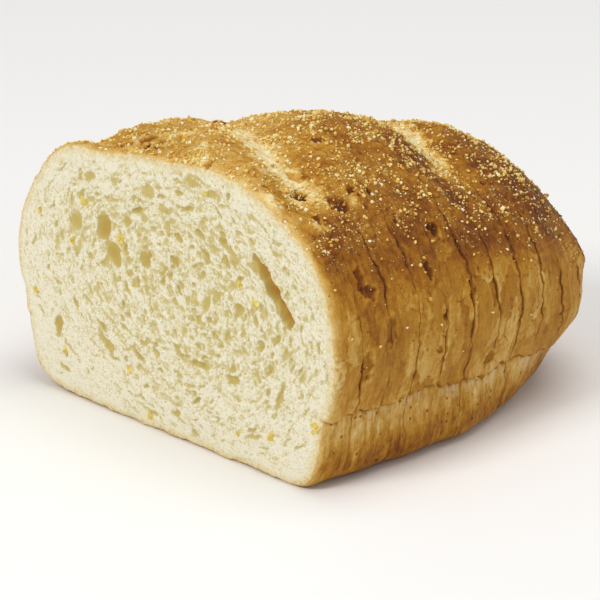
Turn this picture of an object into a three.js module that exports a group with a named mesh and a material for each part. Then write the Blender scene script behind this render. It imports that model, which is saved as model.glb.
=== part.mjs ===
// A hearth-baked corn loaf, cut across and sliced, with its slices still standing together.
//
// Frame: X across the loaf, +Y from the cut end towards the rounded heel, +Z up, in millimetres.
// The origin is on the surface that the loaf rests on, under the middle of its bounding box.
//
// The loaf is one lofted body: a cut outline, carried along Y by a few widths and heights that
// fall to nothing at the tip of the heel. Three scores cross its crown. A slicer's blades part it
// into slices of one thickness, and each slice is a separate closed solid.
import * as THREE from "three";

// Driving dimensions.
const LENGTH = 148; // cut face to the tip of the heel
const SLICE_PITCH = 12; // distance between neighbouring blades
const SLICE_COUNT = 12; // eleven slices and the heel
const KERF = 0.4; // crumb that a blade takes away
const CORE_HEIGHT = 37; // the height that the heel rounds towards
const CREASE_HEIGHT = 23; // top of the foot, which spread on the hearth before the side rose
const SCORED_HEIGHT = { from: 71, to: 94 }; // the scores fade in over this part of the crown
const RING_POINTS = 72; // points around each section
const SLICE_RINGS = 3; // sections through one slice
const HEEL_RINGS = 9; // sections through the heel, without its tip

// How the loaf fills out behind the cut and rounds off to the heel. Each stretch keeps its size as
// far as start, and then falls to nothing at the tip as a superellipse with these two powers.
const SIDE = { start: 19, power: 3.4, order: 3.4 };
const FOOT = { start: 62, power: 1.35, order: 2.1 };
const CROWN = { start: 26, power: 2.2, order: 1.95 };
const UNDERSIDE = { start: 122, power: 3.6, order: 2.65 };
const SWELL = { side: 0.014, foot: 0.09, length: 78 };
const DROOP = { middle: 0.07, heel: 0.38 }; // share of the crown's rise that its shoulders lose

// The baker's scores: shallow valleys that run aslant across the crown.
const SCORES = [
  { y: 4, skew: -0.23, depth: 3.8, width: 7.5 },
  { y: 40, skew: -0.61, depth: 5, width: 12 },
  { y: 94, skew: -0.33, depth: 6.8, width: 10.5 },
];

// The outline at the cut, anticlockwise seen from the cut end: flat base, foot, crease, side,
// shoulder and crown, each as [x, z].
const CUT_OUTLINE = [
  [0, 0], [48, 0], [57.5, 0.6], [62.5, 4], [65.2, 10], [67, 17],
  [68, 23], [70.6, 29], [72.8, 39], [73.2, 48], [71.8, 58], [68.2, 68], [62.6, 76.2],
  [53.5, 83.4], [43, 88.4], [32, 92.4], [20, 94], [8, 93.3], [-6, 91.8], [-20, 90.2],
  [-33, 87.8], [-45, 86.8], [-54, 82.8], [-61.5, 75.6], [-68, 66.4], [-72.4, 55], [-73.8, 45],
  [-72.6, 35.5], [-70, 26.5], [-69.2, 20], [-67.2, 11], [-62.5, 4], [-55, 0.5], [-46, 0],
];

// How far each piece has slid aside since the loaf was sliced.
const SLICE_SHIFTS = [0, 0.3, -0.2, 0.35, -0.3, 0.2, -0.15, 0.3, -0.25, 0.15, -0.2, 0.1];

const CRUST = new THREE.MeshStandardMaterial({
  name: "crust", color: 0xc08a45, roughness: 0.75, metalness: 0,
});

const HALF_WIDTH = Math.max(...CUT_OUTLINE.map(([x]) => x));

// Evenly spaced points of the smooth closed outline at the cut, with the base held flat.
const cutSection = new THREE.CatmullRomCurve3(
  CUT_OUTLINE.map(([x, z]) => new THREE.Vector3(x, 0, z)), true, "centripetal",
).getSpacedPoints(RING_POINTS).slice(0, RING_POINTS);

// The share of its full size that a stretch still has at y.
function fullness(y, { start, power, order }) {
  if (y <= start) return 1;
  const along = Math.min(1, (y - start) / (LENGTH - start));
  return Math.pow(1 - Math.pow(along, power), 1 / order);
}

// How much of its growth the loaf has made at y, from 0 at the cut to 1 at SWELL.length.
function grown(y) {
  const share = Math.min(1, y / SWELL.length);
  return share * (2 - share);
}

// How deep the scores lie at (x, y).
function scoreDepth(x, y) {
  return SCORES.reduce((sum, score) => {
    const away = (y - score.y - score.skew * x) / score.width;
    return sum + score.depth * Math.exp(-away * away);
  }, 0);
}

// The surface point of the loaf at station y that comes from one point of the cut section.
function loafPoint(cut, y) {
  const aboveCrease = Math.min(1, cut.z / CREASE_HEIGHT);
  const sideWidth = fullness(y, SIDE) * (1 + SWELL.side * grown(y));
  const footWidth = fullness(y, FOOT) * (1 + SWELL.foot * grown(y));
  const x = cut.x * THREE.MathUtils.lerp(footWidth, sideWidth, aboveCrease);
  if (cut.z < CORE_HEIGHT) {
    const z = CORE_HEIGHT - (CORE_HEIGHT - Math.max(0, cut.z)) * fullness(y, UNDERSIDE);
    return new THREE.Vector3(x, y, z < 0.05 ? 0 : z);
  }
  const aside = cut.x / HALF_WIDTH;
  const droop = (DROOP.middle * grown(y) + DROOP.heel * (y / LENGTH) ** 2) * aside ** 2;
  const crown = fullness(y, CROWN);
  const scored = THREE.MathUtils.smoothstep(cut.z, SCORED_HEIGHT.from, SCORED_HEIGHT.to) * crown;
  const sunk = (scoreDepth(x, y) - scoreDepth(cut.x, 0)) * scored;
  return new THREE.Vector3(x, y, CORE_HEIGHT + (cut.z - CORE_HEIGHT) * crown * (1 - droop) - sunk);
}

// A closed solid lofted through the sections at the stations. With a tip, the last section closes
// to a point there; without one, a flat cut closes it.
function loftedSolid(stations, tip) {
  const rings = stations.map((y) => cutSection.map((cut) => loafPoint(cut, y)));
  const positions = rings.flat();
  const triangles = [];
  const n = RING_POINTS;
  for (let r = 0; r + 1 < rings.length; r++) {
    for (let i = 0; i < n; i++) {
      const [a, b] = [r * n + i, r * n + ((i + 1) % n)];
      triangles.push(a, b + n, b, a, a + n, b + n);
    }
  }
  const frontCentre = positions.push(new THREE.Vector3(0, stations[0], CORE_HEIGHT)) - 1;
  const backY = tip ?? stations.at(-1);
  const backCentre = positions.push(new THREE.Vector3(0, backY, CORE_HEIGHT)) - 1;
  const back = (rings.length - 1) * n;
  for (let i = 0; i < n; i++) {
    const next = (i + 1) % n;
    triangles.push(frontCentre, i, next);
    triangles.push(backCentre, back + next, back + i);
  }
  const geometry = new THREE.BufferGeometry().setFromPoints(positions);
  geometry.setIndex(triangles);
  geometry.computeVertexNormals();
  return geometry;
}

// Stations of a slice, evenly spaced between the two cuts that free it.
function sliceStations(index) {
  const front = index === 0 ? 0 : index * SLICE_PITCH + KERF / 2;
  const back = (index + 1) * SLICE_PITCH - KERF / 2;
  return Array.from({ length: SLICE_RINGS }, (_, r) =>
    THREE.MathUtils.lerp(front, back, r / (SLICE_RINGS - 1)));
}

// Stations of the heel, closer together towards the tip, where it turns fastest.
function heelStations() {
  const front = (SLICE_COUNT - 1) * SLICE_PITCH + KERF / 2;
  return Array.from({ length: HEEL_RINGS }, (_, r) =>
    THREE.MathUtils.lerp(front, LENGTH, Math.sin((r / HEEL_RINGS) * (Math.PI / 2))));
}

const loaf = new THREE.Group();
loaf.name = "sliced_loaf";

for (let index = 0; index < SLICE_COUNT - 1; index++) {
  const slice = new THREE.Mesh(loftedSolid(sliceStations(index), null), CRUST);
  slice.name = `slice_${String(index + 1).padStart(2, "0")}`;
  slice.position.x = SLICE_SHIFTS[index];
  loaf.add(slice);
}
const heel = new THREE.Mesh(loftedSolid(heelStations(), LENGTH), CRUST);
heel.name = "heel";
heel.position.x = SLICE_SHIFTS[SLICE_COUNT - 1];
loaf.add(heel);

// The origin goes under the middle of the bounding box.
const middle = new THREE.Box3().setFromObject(loaf).getCenter(new THREE.Vector3());
loaf.position.set(-middle.x, -middle.y, 0);

export default loaf;
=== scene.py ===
"""A hearth-baked corn loaf, cut across at one end and sliced, with its slices still together.

The slices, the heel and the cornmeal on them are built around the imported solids: the skin of the
loaf is read from the solids' own sections, and every relief is laid over that skin. Lengths
inside the classes are in millimetres, and a mesh is turned to metres when it is made.

Frame: X across the loaf, +Y from the cut end towards the heel, +Z up from the resting surface.
"""
import logging
import math
from collections.abc import Callable
from dataclasses import dataclass, field
from enum import Enum
from functools import partial

import bmesh
import bpy
import numpy as np
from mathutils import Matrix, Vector
from mathutils.geometry import delaunay_2d_cdt
from mathutils.kdtree import KDTree


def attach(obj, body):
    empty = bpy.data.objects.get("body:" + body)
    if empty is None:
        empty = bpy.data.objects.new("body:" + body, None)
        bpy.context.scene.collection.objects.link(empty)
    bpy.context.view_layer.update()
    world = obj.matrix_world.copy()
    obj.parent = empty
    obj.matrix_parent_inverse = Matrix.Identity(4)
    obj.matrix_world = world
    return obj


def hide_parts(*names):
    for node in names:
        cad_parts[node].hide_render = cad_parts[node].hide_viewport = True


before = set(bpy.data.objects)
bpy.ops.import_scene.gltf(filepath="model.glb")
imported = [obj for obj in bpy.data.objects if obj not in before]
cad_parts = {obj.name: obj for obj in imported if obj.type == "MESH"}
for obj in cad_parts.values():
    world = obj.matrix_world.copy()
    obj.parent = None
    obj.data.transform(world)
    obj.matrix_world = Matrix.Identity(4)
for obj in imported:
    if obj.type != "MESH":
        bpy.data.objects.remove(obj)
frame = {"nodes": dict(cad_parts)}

LOG = logging.getLogger("corn_loaf")
MM = 0.001  # metres in a millimetre
BODY = "root"
SEED = 7
NO_QUADS = np.empty((0, 4), int)
NO_TRIANGLES = np.empty((0, 3), int)


class Slot(Enum):
    """The record's material slots."""

    CRUST = "crust"
    CORNMEAL = "cornmeal"


class Face(Enum):
    """The two cut faces of a slice. Its inside lies along +Y from the front, -Y from the back."""

    FRONT = 1
    BACK = -1


# --------------------------------------
# Numbers and noise
#
# The last number in each call of a noise is its seed: which of the endless patterns it is.
# --------------------------------------


def smooth_between(low: float, high: float, value: np.ndarray) -> np.ndarray:
    """Ease from 0 at low to 1 at high.

    Args:
        low: value at or before which the result is 0.
        high: value at or after which the result is 1.
        value: numbers to ease.

    Returns:
        The eased numbers, each from 0 to 1.
    """
    share = np.clip((value - low) / (high - low), 0.0, 1.0)
    return share * share * (3.0 - 2.0 * share)


def lattice_value(cell: np.ndarray, seed: int) -> np.ndarray:
    """Give each lattice cell its own fixed number, by mixing the bits of its place and the seed.

    Args:
        cell: whole-number cells, shape (n, 3).
        seed: which set of numbers to use.

    Returns:
        One number from -1 to 1 for each cell.
    """
    mixed = cell[:, 0] * 73856093 ^ cell[:, 1] * 19349663 ^ cell[:, 2] * 83492791
    mixed = (mixed ^ (seed * 2654435761)) & 0xFFFFFFFF
    mixed = ((mixed ^ (mixed >> 15)) * 2246822519) & 0xFFFFFFFF
    mixed = ((mixed ^ (mixed >> 13)) * 3266489917) & 0xFFFFFFFF
    return ((mixed ^ (mixed >> 16)) & 0xFFFFFF) / 8388607.5 - 1.0


def noise(points: np.ndarray, size: float | tuple[float, float, float], seed: int) -> np.ndarray:
    """Smooth noise through space.

    Args:
        points: places in millimetres, shape (n, 3).
        size: distance between the noise's bumps, one number or one for each axis.
        seed: which noise to use.

    Returns:
        One number from -1 to 1 for each place.
    """
    scaled = points / np.asarray(size, float)
    cell = np.floor(scaled).astype(np.int64)
    part = scaled - cell
    eased = part**3 * (part * (part * 6.0 - 15.0) + 10.0)
    total = np.zeros(len(points))
    for corner in np.ndindex(2, 2, 2):
        weight = np.prod(np.where(corner, eased, 1.0 - eased), axis=1)
        total += weight * lattice_value(cell + np.array(corner), seed)
    return total


def layered_noise(
    points: np.ndarray, size: float | tuple[float, float, float], layers: int, seed: int
) -> np.ndarray:
    """Noise with finer noise on top, each layer half the size and strength of the one before.

    Args:
        points: places in millimetres, shape (n, 3).
        size: distance between the coarsest bumps.
        layers: how many layers to add.
        seed: which noise to use.

    Returns:
        One number from about -1 to 1 for each place.
    """
    total = np.zeros(len(points))
    for layer in range(layers):
        total += 0.5**layer * noise(points, np.asarray(size, float) / 2**layer, seed + layer)
    return total / (2.0 - 0.5 ** (layers - 1))


def plates(
    points: np.ndarray, size: float | tuple[float, float, float], seed: int
) -> tuple[np.ndarray, np.ndarray, np.ndarray]:
    """Break space into irregular cells, as skin breaks into flakes.

    Args:
        points: places in millimetres, shape (n, 3).
        size: distance between the middles of neighbouring cells.
        seed: which set of cells to use.

    Returns:
        Each place's own cell number from -1 to 1, its distance from that cell's middle, and how
        much further the next cell's middle is, both as shares of the size.
    """
    scaled = points / np.asarray(size, float)
    cell = np.floor(scaled).astype(np.int64)
    nearest = np.full(len(points), np.inf)
    second = np.full(len(points), np.inf)
    own = np.zeros(len(points))
    for corner in np.ndindex(3, 3, 3):
        beside = cell + np.array(corner) - 1
        jitter = np.column_stack([lattice_value(beside, seed + k) for k in range(3)])
        middle = beside + 0.5 + 0.42 * jitter
        away = np.linalg.norm(middle - scaled, axis=1)
        closer = away < nearest
        second = np.where(closer, nearest, np.minimum(second, away))
        own = np.where(closer, lattice_value(beside, seed + 3), own)
        nearest = np.where(closer, away, nearest)
    return own, nearest, second - nearest


def periodic_cubic(
    known: np.ndarray, value: np.ndarray, wanted: np.ndarray, period: float
) -> np.ndarray:
    """Draw a smooth closed curve through known values.

    Args:
        known: rising places of the known values, all within one period.
        value: the known values.
        wanted: places to read the curve at.
        period: length after which the curve repeats.

    Returns:
        The curve's value at each wanted place.
    """
    place = np.concatenate([known[-2:] - period, known, known[:3] + period])
    level = np.concatenate([value[-2:], value, value[:3]])
    slope = np.gradient(level, place)
    at = (wanted - known[0]) % period + known[0]
    left = np.clip(np.searchsorted(place, at, side="right") - 1, 0, len(place) - 2)
    gap = place[left + 1] - place[left]
    t = (at - place[left]) / gap
    return (
        (1 + 2 * t) * (1 - t) ** 2 * level[left]
        + t * (1 - t) ** 2 * gap * slope[left]
        + t * t * (3 - 2 * t) * level[left + 1]
        + t * t * (t - 1) * gap * slope[left + 1]
    )


# --------------------------------------
# The smooth skin of the loaf
# --------------------------------------


@dataclass
class LoafSkin:
    """The smooth outside of the loaf, as radii round a lengthwise axis.

    Angles start under the axis and grow towards +X, so that a quarter turn is the +X side.

    Args:
        ring_y: each section's place along the loaf.
        ring_radius: each section's radii, shape (rings, angle_count).
        first_ring: number of each piece's first section.
        rings_of: how many sections each piece has.
        seam_ease: how far the two sides of a cut are brought together, from 0 to 1.
        same_level: corners within this distance along Y belong to one section.
        fewest_corners: a section with fewer corners than this is the heel's tip.
        middle_share: corners nearer the axis than this share of the radius are a cap's middle.
    """

    axis_z: float
    ring_y: np.ndarray
    ring_radius: np.ndarray
    first_ring: dict[str, int]
    rings_of: dict[str, int]
    angle_count: int = 1440
    seam_ease: float = 0.85
    same_level: float = 0.06
    fewest_corners: int = 8
    middle_share: float = 0.4

    @classmethod
    def from_solids(cls, nodes: dict[str, bpy.types.Object], names: list[str]) -> "LoafSkin":
        """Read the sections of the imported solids.

        Args:
            nodes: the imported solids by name.
            names: the solids in order from the cut end to the heel.

        Returns:
            The skin through all their sections.
        """
        clouds = {}
        for name in names:
            vertices = nodes[name].data.vertices
            flat = np.empty(len(vertices) * 3, np.float32)
            vertices.foreach_get("co", flat)
            clouds[name] = np.unique(np.round(flat.reshape(-1, 3) / MM, 2), axis=0)
        tip = clouds[names[-1]][np.argmax(clouds[names[-1]][:, 1])]
        skin = cls(float(tip[2]), np.empty(0), np.empty(0), {}, {})
        ring_y, ring_radius = [], []
        for name in names:
            skin.first_ring[name] = len(ring_y)
            for level in np.unique(np.round(clouds[name][:, 1], 1)):
                ring = clouds[name][np.abs(clouds[name][:, 1] - level) < skin.same_level]
                ring_y.append(float(ring[:, 1].mean()))
                ring_radius.append(skin._radii(ring))
            skin.rings_of[name] = len(ring_y) - skin.first_ring[name]
        skin.ring_y = np.array(ring_y)
        skin.ring_radius = np.array(ring_radius)
        skin._ease_seams(names)
        return skin

    def _ease_seams(self, names: list[str]) -> None:
        """Bring the crusts on the two sides of each cut closer together.

        Args:
            names: the pieces in order from the cut end.
        """
        for name in names[1:]:
            after = self.first_ring[name]
            middle = (self.ring_radius[after] + self.ring_radius[after - 1]) / 2
            for ring in (after - 1, after):
                self.ring_radius[ring] += self.seam_ease * (middle - self.ring_radius[ring])

    def angles(self) -> np.ndarray:
        """The angles that each ring's radii are kept at."""
        return np.arange(self.angle_count) / self.angle_count * math.tau

    def _radii(self, ring: np.ndarray) -> np.ndarray:
        """Turn one section's corners into radii at the kept angles.

        Args:
            ring: the section's corners and perhaps its middle, shape (n, 3).

        Returns:
            One radius for each kept angle.
        """
        across, down = ring[:, 0], self.axis_z - ring[:, 2]
        radius = np.hypot(across, down)
        if len(ring) < self.fewest_corners:
            return np.zeros(self.angle_count)
        outer = radius > self.middle_share * np.median(radius)
        angle = np.arctan2(across[outer], down[outer]) % math.tau
        order = np.argsort(angle)
        return periodic_cubic(angle[order], radius[outer][order], self.angles(), math.tau)

    def sections(self, name: str, rows: np.ndarray) -> tuple[np.ndarray, np.ndarray]:
        """Read the skin of one piece at chosen rows.

        Args:
            name: the piece.
            rows: ring numbers counted from the piece's first, whole or between.

        Returns:
            The rows' places along Y, shape (rows,), and radii, shape (rows, angles).
        """
        first, count = self.first_ring[name], self.rings_of[name]
        span = slice(first, first + count)
        ring_y, ring_radius = self.ring_y[span], self.ring_radius[span]
        ends_in_tip = ring_radius[-1].max() < 1e-6
        after_y = ring_y[-2] if ends_in_tip else 2 * ring_y[-1] - ring_y[-2]
        after = -ring_radius[-2] if ends_in_tip else 2 * ring_radius[-1] - ring_radius[-2]
        level = np.column_stack([ring_y, ring_radius])
        before = 2 * level[0] - level[1]
        level = np.vstack([before, level, np.concatenate([[after_y], after])])
        left = np.clip(np.floor(rows).astype(int), 0, count - 2)
        t = (rows - left)[:, None]
        a, b, c, d = (level[left + step] for step in range(4))
        squared, cubed = 2 * a - 5 * b + 4 * c - d, 3 * b - a - 3 * c + d
        blend = 0.5 * (2 * b + (c - a) * t + squared * t**2 + cubed * t**3)
        return blend[:, 0], blend[:, 1:]

    def point(self, angle: np.ndarray | float, radius: np.ndarray, y: np.ndarray) -> np.ndarray:
        """Turn angles, radii and lengthwise places into points, shape (..., 3)."""
        across, height = radius * np.sin(angle), self.axis_z - radius * np.cos(angle)
        return np.stack(np.broadcast_arrays(across, y, height), axis=-1)

    def even_angles(self, radius: np.ndarray, spacing: float) -> np.ndarray:
        """Choose angles that are evenly spaced along one section.

        Args:
            radius: the section's radius at each kept angle.
            spacing: wanted distance between neighbours.

        Returns:
            The angles, from 0 to less than one turn.
        """
        ring = self.point(self.angles(), radius, np.zeros(1))
        step = np.linalg.norm(np.roll(ring, -1, axis=0) - ring, axis=1)
        walked = np.concatenate([[0.0], np.cumsum(step)])
        count = int(round(walked[-1] / spacing))
        return np.interp(
            np.arange(count) / count * walked[-1], walked, np.append(self.angles(), math.tau)
        )

    def radius_at(self, radius: np.ndarray, angle: np.ndarray) -> np.ndarray:
        """Read a row of kept radii at any angles."""
        return np.interp(angle, self.angles(), radius, period=math.tau)


# --------------------------------------
# The crust
# --------------------------------------


@dataclass(frozen=True)
class Score:
    """A baker's cut across the crown, which tore open as the loaf rose.

    Args:
        path: places [x, y] along the middle of the bare strip.
        width: half the width of the strip.
        reach: lowest height that the strip comes down to.
        fade: height over which it comes in above that.
    """

    path: tuple[tuple[float, float], ...]
    width: float
    reach: float
    fade: float = 5.0

    def strength(self, points: np.ndarray) -> np.ndarray:
        """How much of the bare strip shows.

        Args:
            points: places on the smooth skin, shape (n, 3).

        Returns:
            The share that shows at each place, from 0 to 1.
        """
        xs, ys = np.array(self.path).T
        away = (points[:, 1] - np.interp(points[:, 0], xs, ys)) / self.width
        above = smooth_between(self.reach, self.reach + self.fade, points[:, 2])
        return np.exp(-(away**4)) * above


@dataclass(frozen=True)
class Pit:
    """A burst blister or a torn place in the crust.

    Args:
        at: its middle.
        half: half its size along X, Y and Z.
        depth: how deep it is.
        dark: how much darker it is than the crust round it, from 0 to 1.
    """

    at: tuple[float, float, float]
    half: tuple[float, float, float]
    depth: float
    dark: float = 0.3

    def hollow(self, points: np.ndarray) -> np.ndarray:
        """How far into the pit each point is, from 0 at the rim to 1 in the middle."""
        away = np.linalg.norm((points - np.array(self.at)) / np.array(self.half), axis=1)
        return np.sqrt(np.clip(1.0 - away**2, 0.0, 1.0))

    def rim(self, points: np.ndarray) -> np.ndarray:
        """How much each point belongs to the lifted skin just outside the pit, from 0 to 1."""
        away = np.linalg.norm((points - np.array(self.at)) / np.array(self.half), axis=1)
        return np.exp(-(((away - 1.2) / 0.22) ** 2))


@dataclass(frozen=True)
class Swelling:
    """A place where the loaf swells out, or with a negative lift falls in.

    Args:
        at: its middle.
        reach: how far it reaches along X, Y and Z.
        lift: how far it stands out in the middle.
    """

    at: tuple[float, float, float]
    reach: tuple[float, float, float]
    lift: float

    def rise(self, points: np.ndarray) -> np.ndarray:
        """How far the swelling lifts each point."""
        away = (points - np.array(self.at)) / np.array(self.reach)
        return self.lift * np.exp(-(away**2).sum(axis=1))


@dataclass
class Crust:
    """The baked outside: its relief and how brown or floury each place is.

    Args:
        scores: the baker's cuts that tore open.
        pits: burst blisters and torn places; a negative depth or dark is a lifted, pale flake.
        swellings: where the loaf is fuller or slacker than its sections.
        crease: places [y, z] along the crease between the foot and the side.
        plain_browning: how brown the crust is where nothing changes it.
        heel_from: Y at which the crease starts to fade into the heel, and at which it is gone.
    """

    scores: tuple[Score, ...] = (
        Score(((-60, 8), (-36, -13), (-3, -38), (14, -48), (24, -53), (40, -57)), 5.8, 83.0),
        Score(((-50, 52), (-4, 27), (14, 16), (26, 10.5), (44, 7.5)), 4.8, 76.0),
    )
    pits: tuple[Pit, ...] = (
        Pit((73, -66, 52), (3, 1.6, 7), -0.3, -0.06), Pit((72, -36, 52), (3, 2.0, 6), -0.35, -0.07),
        Pit((42, -58, 87.4), (3.4, 3.0, 3.2), 2.0, 0.42),
        Pit((52, -51.5, 85.4), (4, 3.6, 3.4), 2.2), Pit((-19, -59, 89.2), (2.6, 3, 3), 1.8),
        Pit((63.3, -21.7, 72.7), (2.2, 2.2, 2.6), 1.6), Pit((49, -42.7, 87.2), (2, 1.6, 2), 1.0),
        Pit((51, -37.5, 86.2), (2.2, 1.6, 2), 1.1), Pit((36.6, -68.6, 91.6), (1.4, 1, 1.5), 0.9),
        Pit((54, -61.5, 83), (2.6, 0.9, 2), 1.2), Pit((60, -35, 79), (1.4, 1.2, 2), 0.9),
        Pit((0, -51, 94.6), (2, 1.6, 2), 1.0), Pit((69.6, -58.6, 66.8), (4, 1.5, 5.6), 0.8, 0.2),
        Pit((70.6, -56, 63.4), (4, 2.6, 2.4), 0.9, 0.2),
        Pit((73.8, -60.3, 41), (3, 2.2, 5), 0.35, 0.15),
        Pit((70.2, -30.2, 63.6), (3, 1, 3.2), 0.7, 0.2),
        Pit((73.4, -27, 48), (3, 1, 3.6), 0.6, 0.2),
        Pit((73.7, -13.5, 54), (3, 1.4, 6.5), 0.8, 0.22),
        Pit((73, -3.6, 50.5), (3, 2.2, 5), 0.4, 0.13),
        Pit((73.8, -29, 37.5), (3, 1.3, 2), 0.5, 0.15),
        Pit((69.5, -2.8, 27), (3, 2, 3.6), 0.5, 0.15),
        Pit((72, -44, 60), (3, 3.4, 5), -0.45, -0.09),
        Pit((73, -40, 33), (3, 1.8, 9), -0.35, -0.07), Pit((73, -50, 50), (3, 2.4, 4), 0.25, 0.08),
        Pit((73, -20, 40), (3, 1.6, 8), -0.4, -0.07), Pit((-71, -49, 60), (4, 1.6, 4), 1.4),
        Pit((-74, -14, 44), (4, 1.2, 5), 1.3), Pit((-70, 22, 50), (4, 2, 3.4), 1.2),
        Pit((-40, -30, 90), (2.6, 2.2, 3), 1.5), Pit((-22, 8, 92), (2.2, 2.4, 3), 1.3),
        Pit((12, 42, 84), (2.2, 1.8, 3), 1.2), Pit((-30, 50, 70), (2, 2, 3), 1.2),
        Pit((43.5, -70.5, 88.5), (3.2, 2.6, 3), -0.7, -0.42),
        Pit((11, -69.8, 94.3), (3.0, 2.2, 3), -0.7, -0.4),
        Pit((16, -71.2, 94), (1.8, 1.3, 2), 1.2, 0.35),
        Pit((-29, -55, 87.6), (4.4, 3, 4), 0.9, 0.27),
        Pit((-24, -60.5, 87.5), (2.2, 1.8, 2.5), 1.2, 0.4),
        Pit((-35, -58.5, 85.5), (1.8, 1.5, 2), 1.0, 0.36),
        Pit((-17, -52, 91), (8.5, 3, 4), 0.35, -0.3),
        Pit((-33, -20, 83.5), (2.8, 2.2, 2.8), -1.5, 0.36),
        Pit((-14, -29, 90), (2.0, 1.6, 2.6), 0.8, 0.3),
        Pit((35, -52, 90), (3.6, 2.8, 3), 0.5, 0.18),
        Pit((25.3, -34, 95.5), (2.6, 2, 2.6), 0.7, 0.25),
        Pit((4, -62, 94.5), (3.5, 2.2, 3), 0.3, -0.25),
        Pit((56, -63, 82.5), (2.6, 2.2, 3), 0.5, -0.3),
        Pit((52.5, -45.5, 86.5), (2.4, 1.8, 3), 0.5, -0.3),
    )
    swellings: tuple[Swelling, ...] = (
        Swelling((63, 42, 29), (18, 18, 10), 3.6),
        Swelling((57, 50, 54), (16, 15, 10), -2.4),
        Swelling((-60, 46, 34), (18, 16, 12), 1.6),
    )
    crease: tuple[tuple[float, float], ...] = (
        (-74, 24), (-58, 24.3), (-44, 23), (-31, 24), (-18, 23), (-5, 21), (8, 20.8),
        (20, 20), (34, 16.5), (48, 14), (62, 15), (74, 20),
    )
    plain_browning: float = 0.56
    heel_from: tuple[float, float] = (54.0, 68.0)

    def crease_height(self, points: np.ndarray) -> np.ndarray:
        """Find the ragged height of the crease.

        Args:
            points: places on the smooth skin, shape (n, 3).

        Returns:
            The crease's height beside each place.
        """
        ys, zs = np.array(self.crease).T
        # Read far out on each side, so that the crease runs differently on the two of them.
        along = np.column_stack([90.0 * np.sign(points[:, 0]), points[:, 1], 0.0 * points[:, 2]])
        ragged = 1.3 * noise(along, 7.0, 31) + noise(along, 2.6, 32) + 0.5 * noise(along, 0.9, 33)
        return np.interp(points[:, 1], ys, zs) + ragged

    def bare(self, points: np.ndarray) -> np.ndarray:
        """How much of a score's torn strip shows.

        Args:
            points: places on the smooth skin, shape (n, 3).

        Returns:
            The share that shows at each place, from 0 to 1.
        """
        shifted = points.copy()
        shifted[:, 1] += 2.2 * noise(points, 4.5, 41) + 1.3 * noise(points, 1.4, 42)
        strip = np.zeros(len(points))
        for score in self.scores:
            strip = np.maximum(strip, score.strength(shifted))
        return strip

    def dress(self, points: np.ndarray, up: np.ndarray) -> dict[str, np.ndarray]:
        """Work out the relief and the colour masks of the crust.

        Args:
            points: places on the smooth skin, shape (n, 3).
            up: how far each place's outward direction points up, from -1 to 1.

        Returns:
            rise: how far the crust stands proud of the skin.
            brown: how brown it is, from 0 for bare crumb to 1 for nearly burnt, with painted shade
                in the crease.
            flour: how much flour lies on it, from 0 to 1.
            flaky: how much its skin has come up in flakes, from 0 to 1.
            meal: how much fine meal lies between the grits, from 0 to 1.
            foot: 1 on the foot and the underside, 0 elsewhere.
        """
        side = 1.0 - smooth_between(0.3, 0.75, np.abs(up))
        crown = smooth_between(0.25, 0.7, up)
        under = smooth_between(0.3, 0.8, -up)
        slit = points[:, 2] - self.crease_height(points)
        fade = (1.0 - smooth_between(*self.heel_from, points[:, 1])) * (1.0 - under)
        band = smooth_between(0.3, -0.5, slit) * fade
        bare = self.bare(points)

        rise = 0.4 * noise(points, 19.0, 1) + 0.2 * noise(points, 7.0, 2)
        rise += sum(swelling.rise(points) for swelling in self.swellings)
        # Lumps along the lowest edge, where the dough spread on the hearth.
        rise += 0.5 * layered_noise(points, 3.2, 3, 14) * np.exp(-points[:, 2] / 3.5)
        brown = self.plain_browning + 0.06 * noise(points, 16.0, 12)
        brown += 0.05 * layered_noise(points, 3.4, 2, 13)
        for part_rise, part_brown in (
            self._skin(points, side * (1.0 - band)),
            self._crown(points, crown, bare),
            self._band(points, slit, band, fade),
            self._underside(points, under),
            self._specks(points, crown, band),
        ):
            rise += part_rise
            brown += part_brown
        # Paler down the side, and darkest on the shoulder.
        brown += side * (1.0 - band) * (0.05 - 0.13 * smooth_between(60.0, 26.0, points[:, 2]))
        brown += 0.08 * smooth_between(0.3, 0.6, up) * smooth_between(0.97, 0.75, up)

        patch = smooth_between(-0.35, 0.35, layered_noise(points, (9.0, 2.6, 5.0), 4, 23))
        flour = 0.8 * band * np.exp(-np.clip(-slit, 0.0, None) / 7.0) * patch
        flour += 0.2 * under * smooth_between(0.0, 0.7, layered_noise(points, 9.0, 3, 24))
        flour += 0.12 * side * smooth_between(0.2, 0.8, layered_noise(points, (6, 2.4, 9), 3, 25))

        loose = smooth_between(-0.5, 0.25, noise(points, 17.0, 27))
        loose *= 1.0 - 0.8 * smooth_between(56.0, 66.0, points[:, 1])
        meal = smooth_between(-0.4, 0.4, layered_noise(points, 6.0, 3, 28))
        pit_rise, pit_brown = self._torn_places(points)
        strip = 0.11 + 0.18 * layered_noise(points, (1.2, 2.0, 1.4), 3, 61)
        brown = (brown + pit_brown) * (1.0 - bare) + bare * strip
        # A dark pit stays dark inside a bare strip too.
        brown = np.where(pit_brown > 0.05, np.maximum(brown, 2.2 * pit_brown), brown)
        return {
            "rise": rise + pit_rise,
            "brown": np.clip(brown, 0.0, 1.0),
            "flour": np.clip(flour, 0.0, 1.0),
            "flaky": (0.25 * crown + side * (1.0 - 0.6 * band)) * loose * (1.0 - bare),
            "meal": crown * (1.0 - 0.4 * bare) * meal,
            "foot": np.clip(band + under, 0.0, 1.0),
        }

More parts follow.
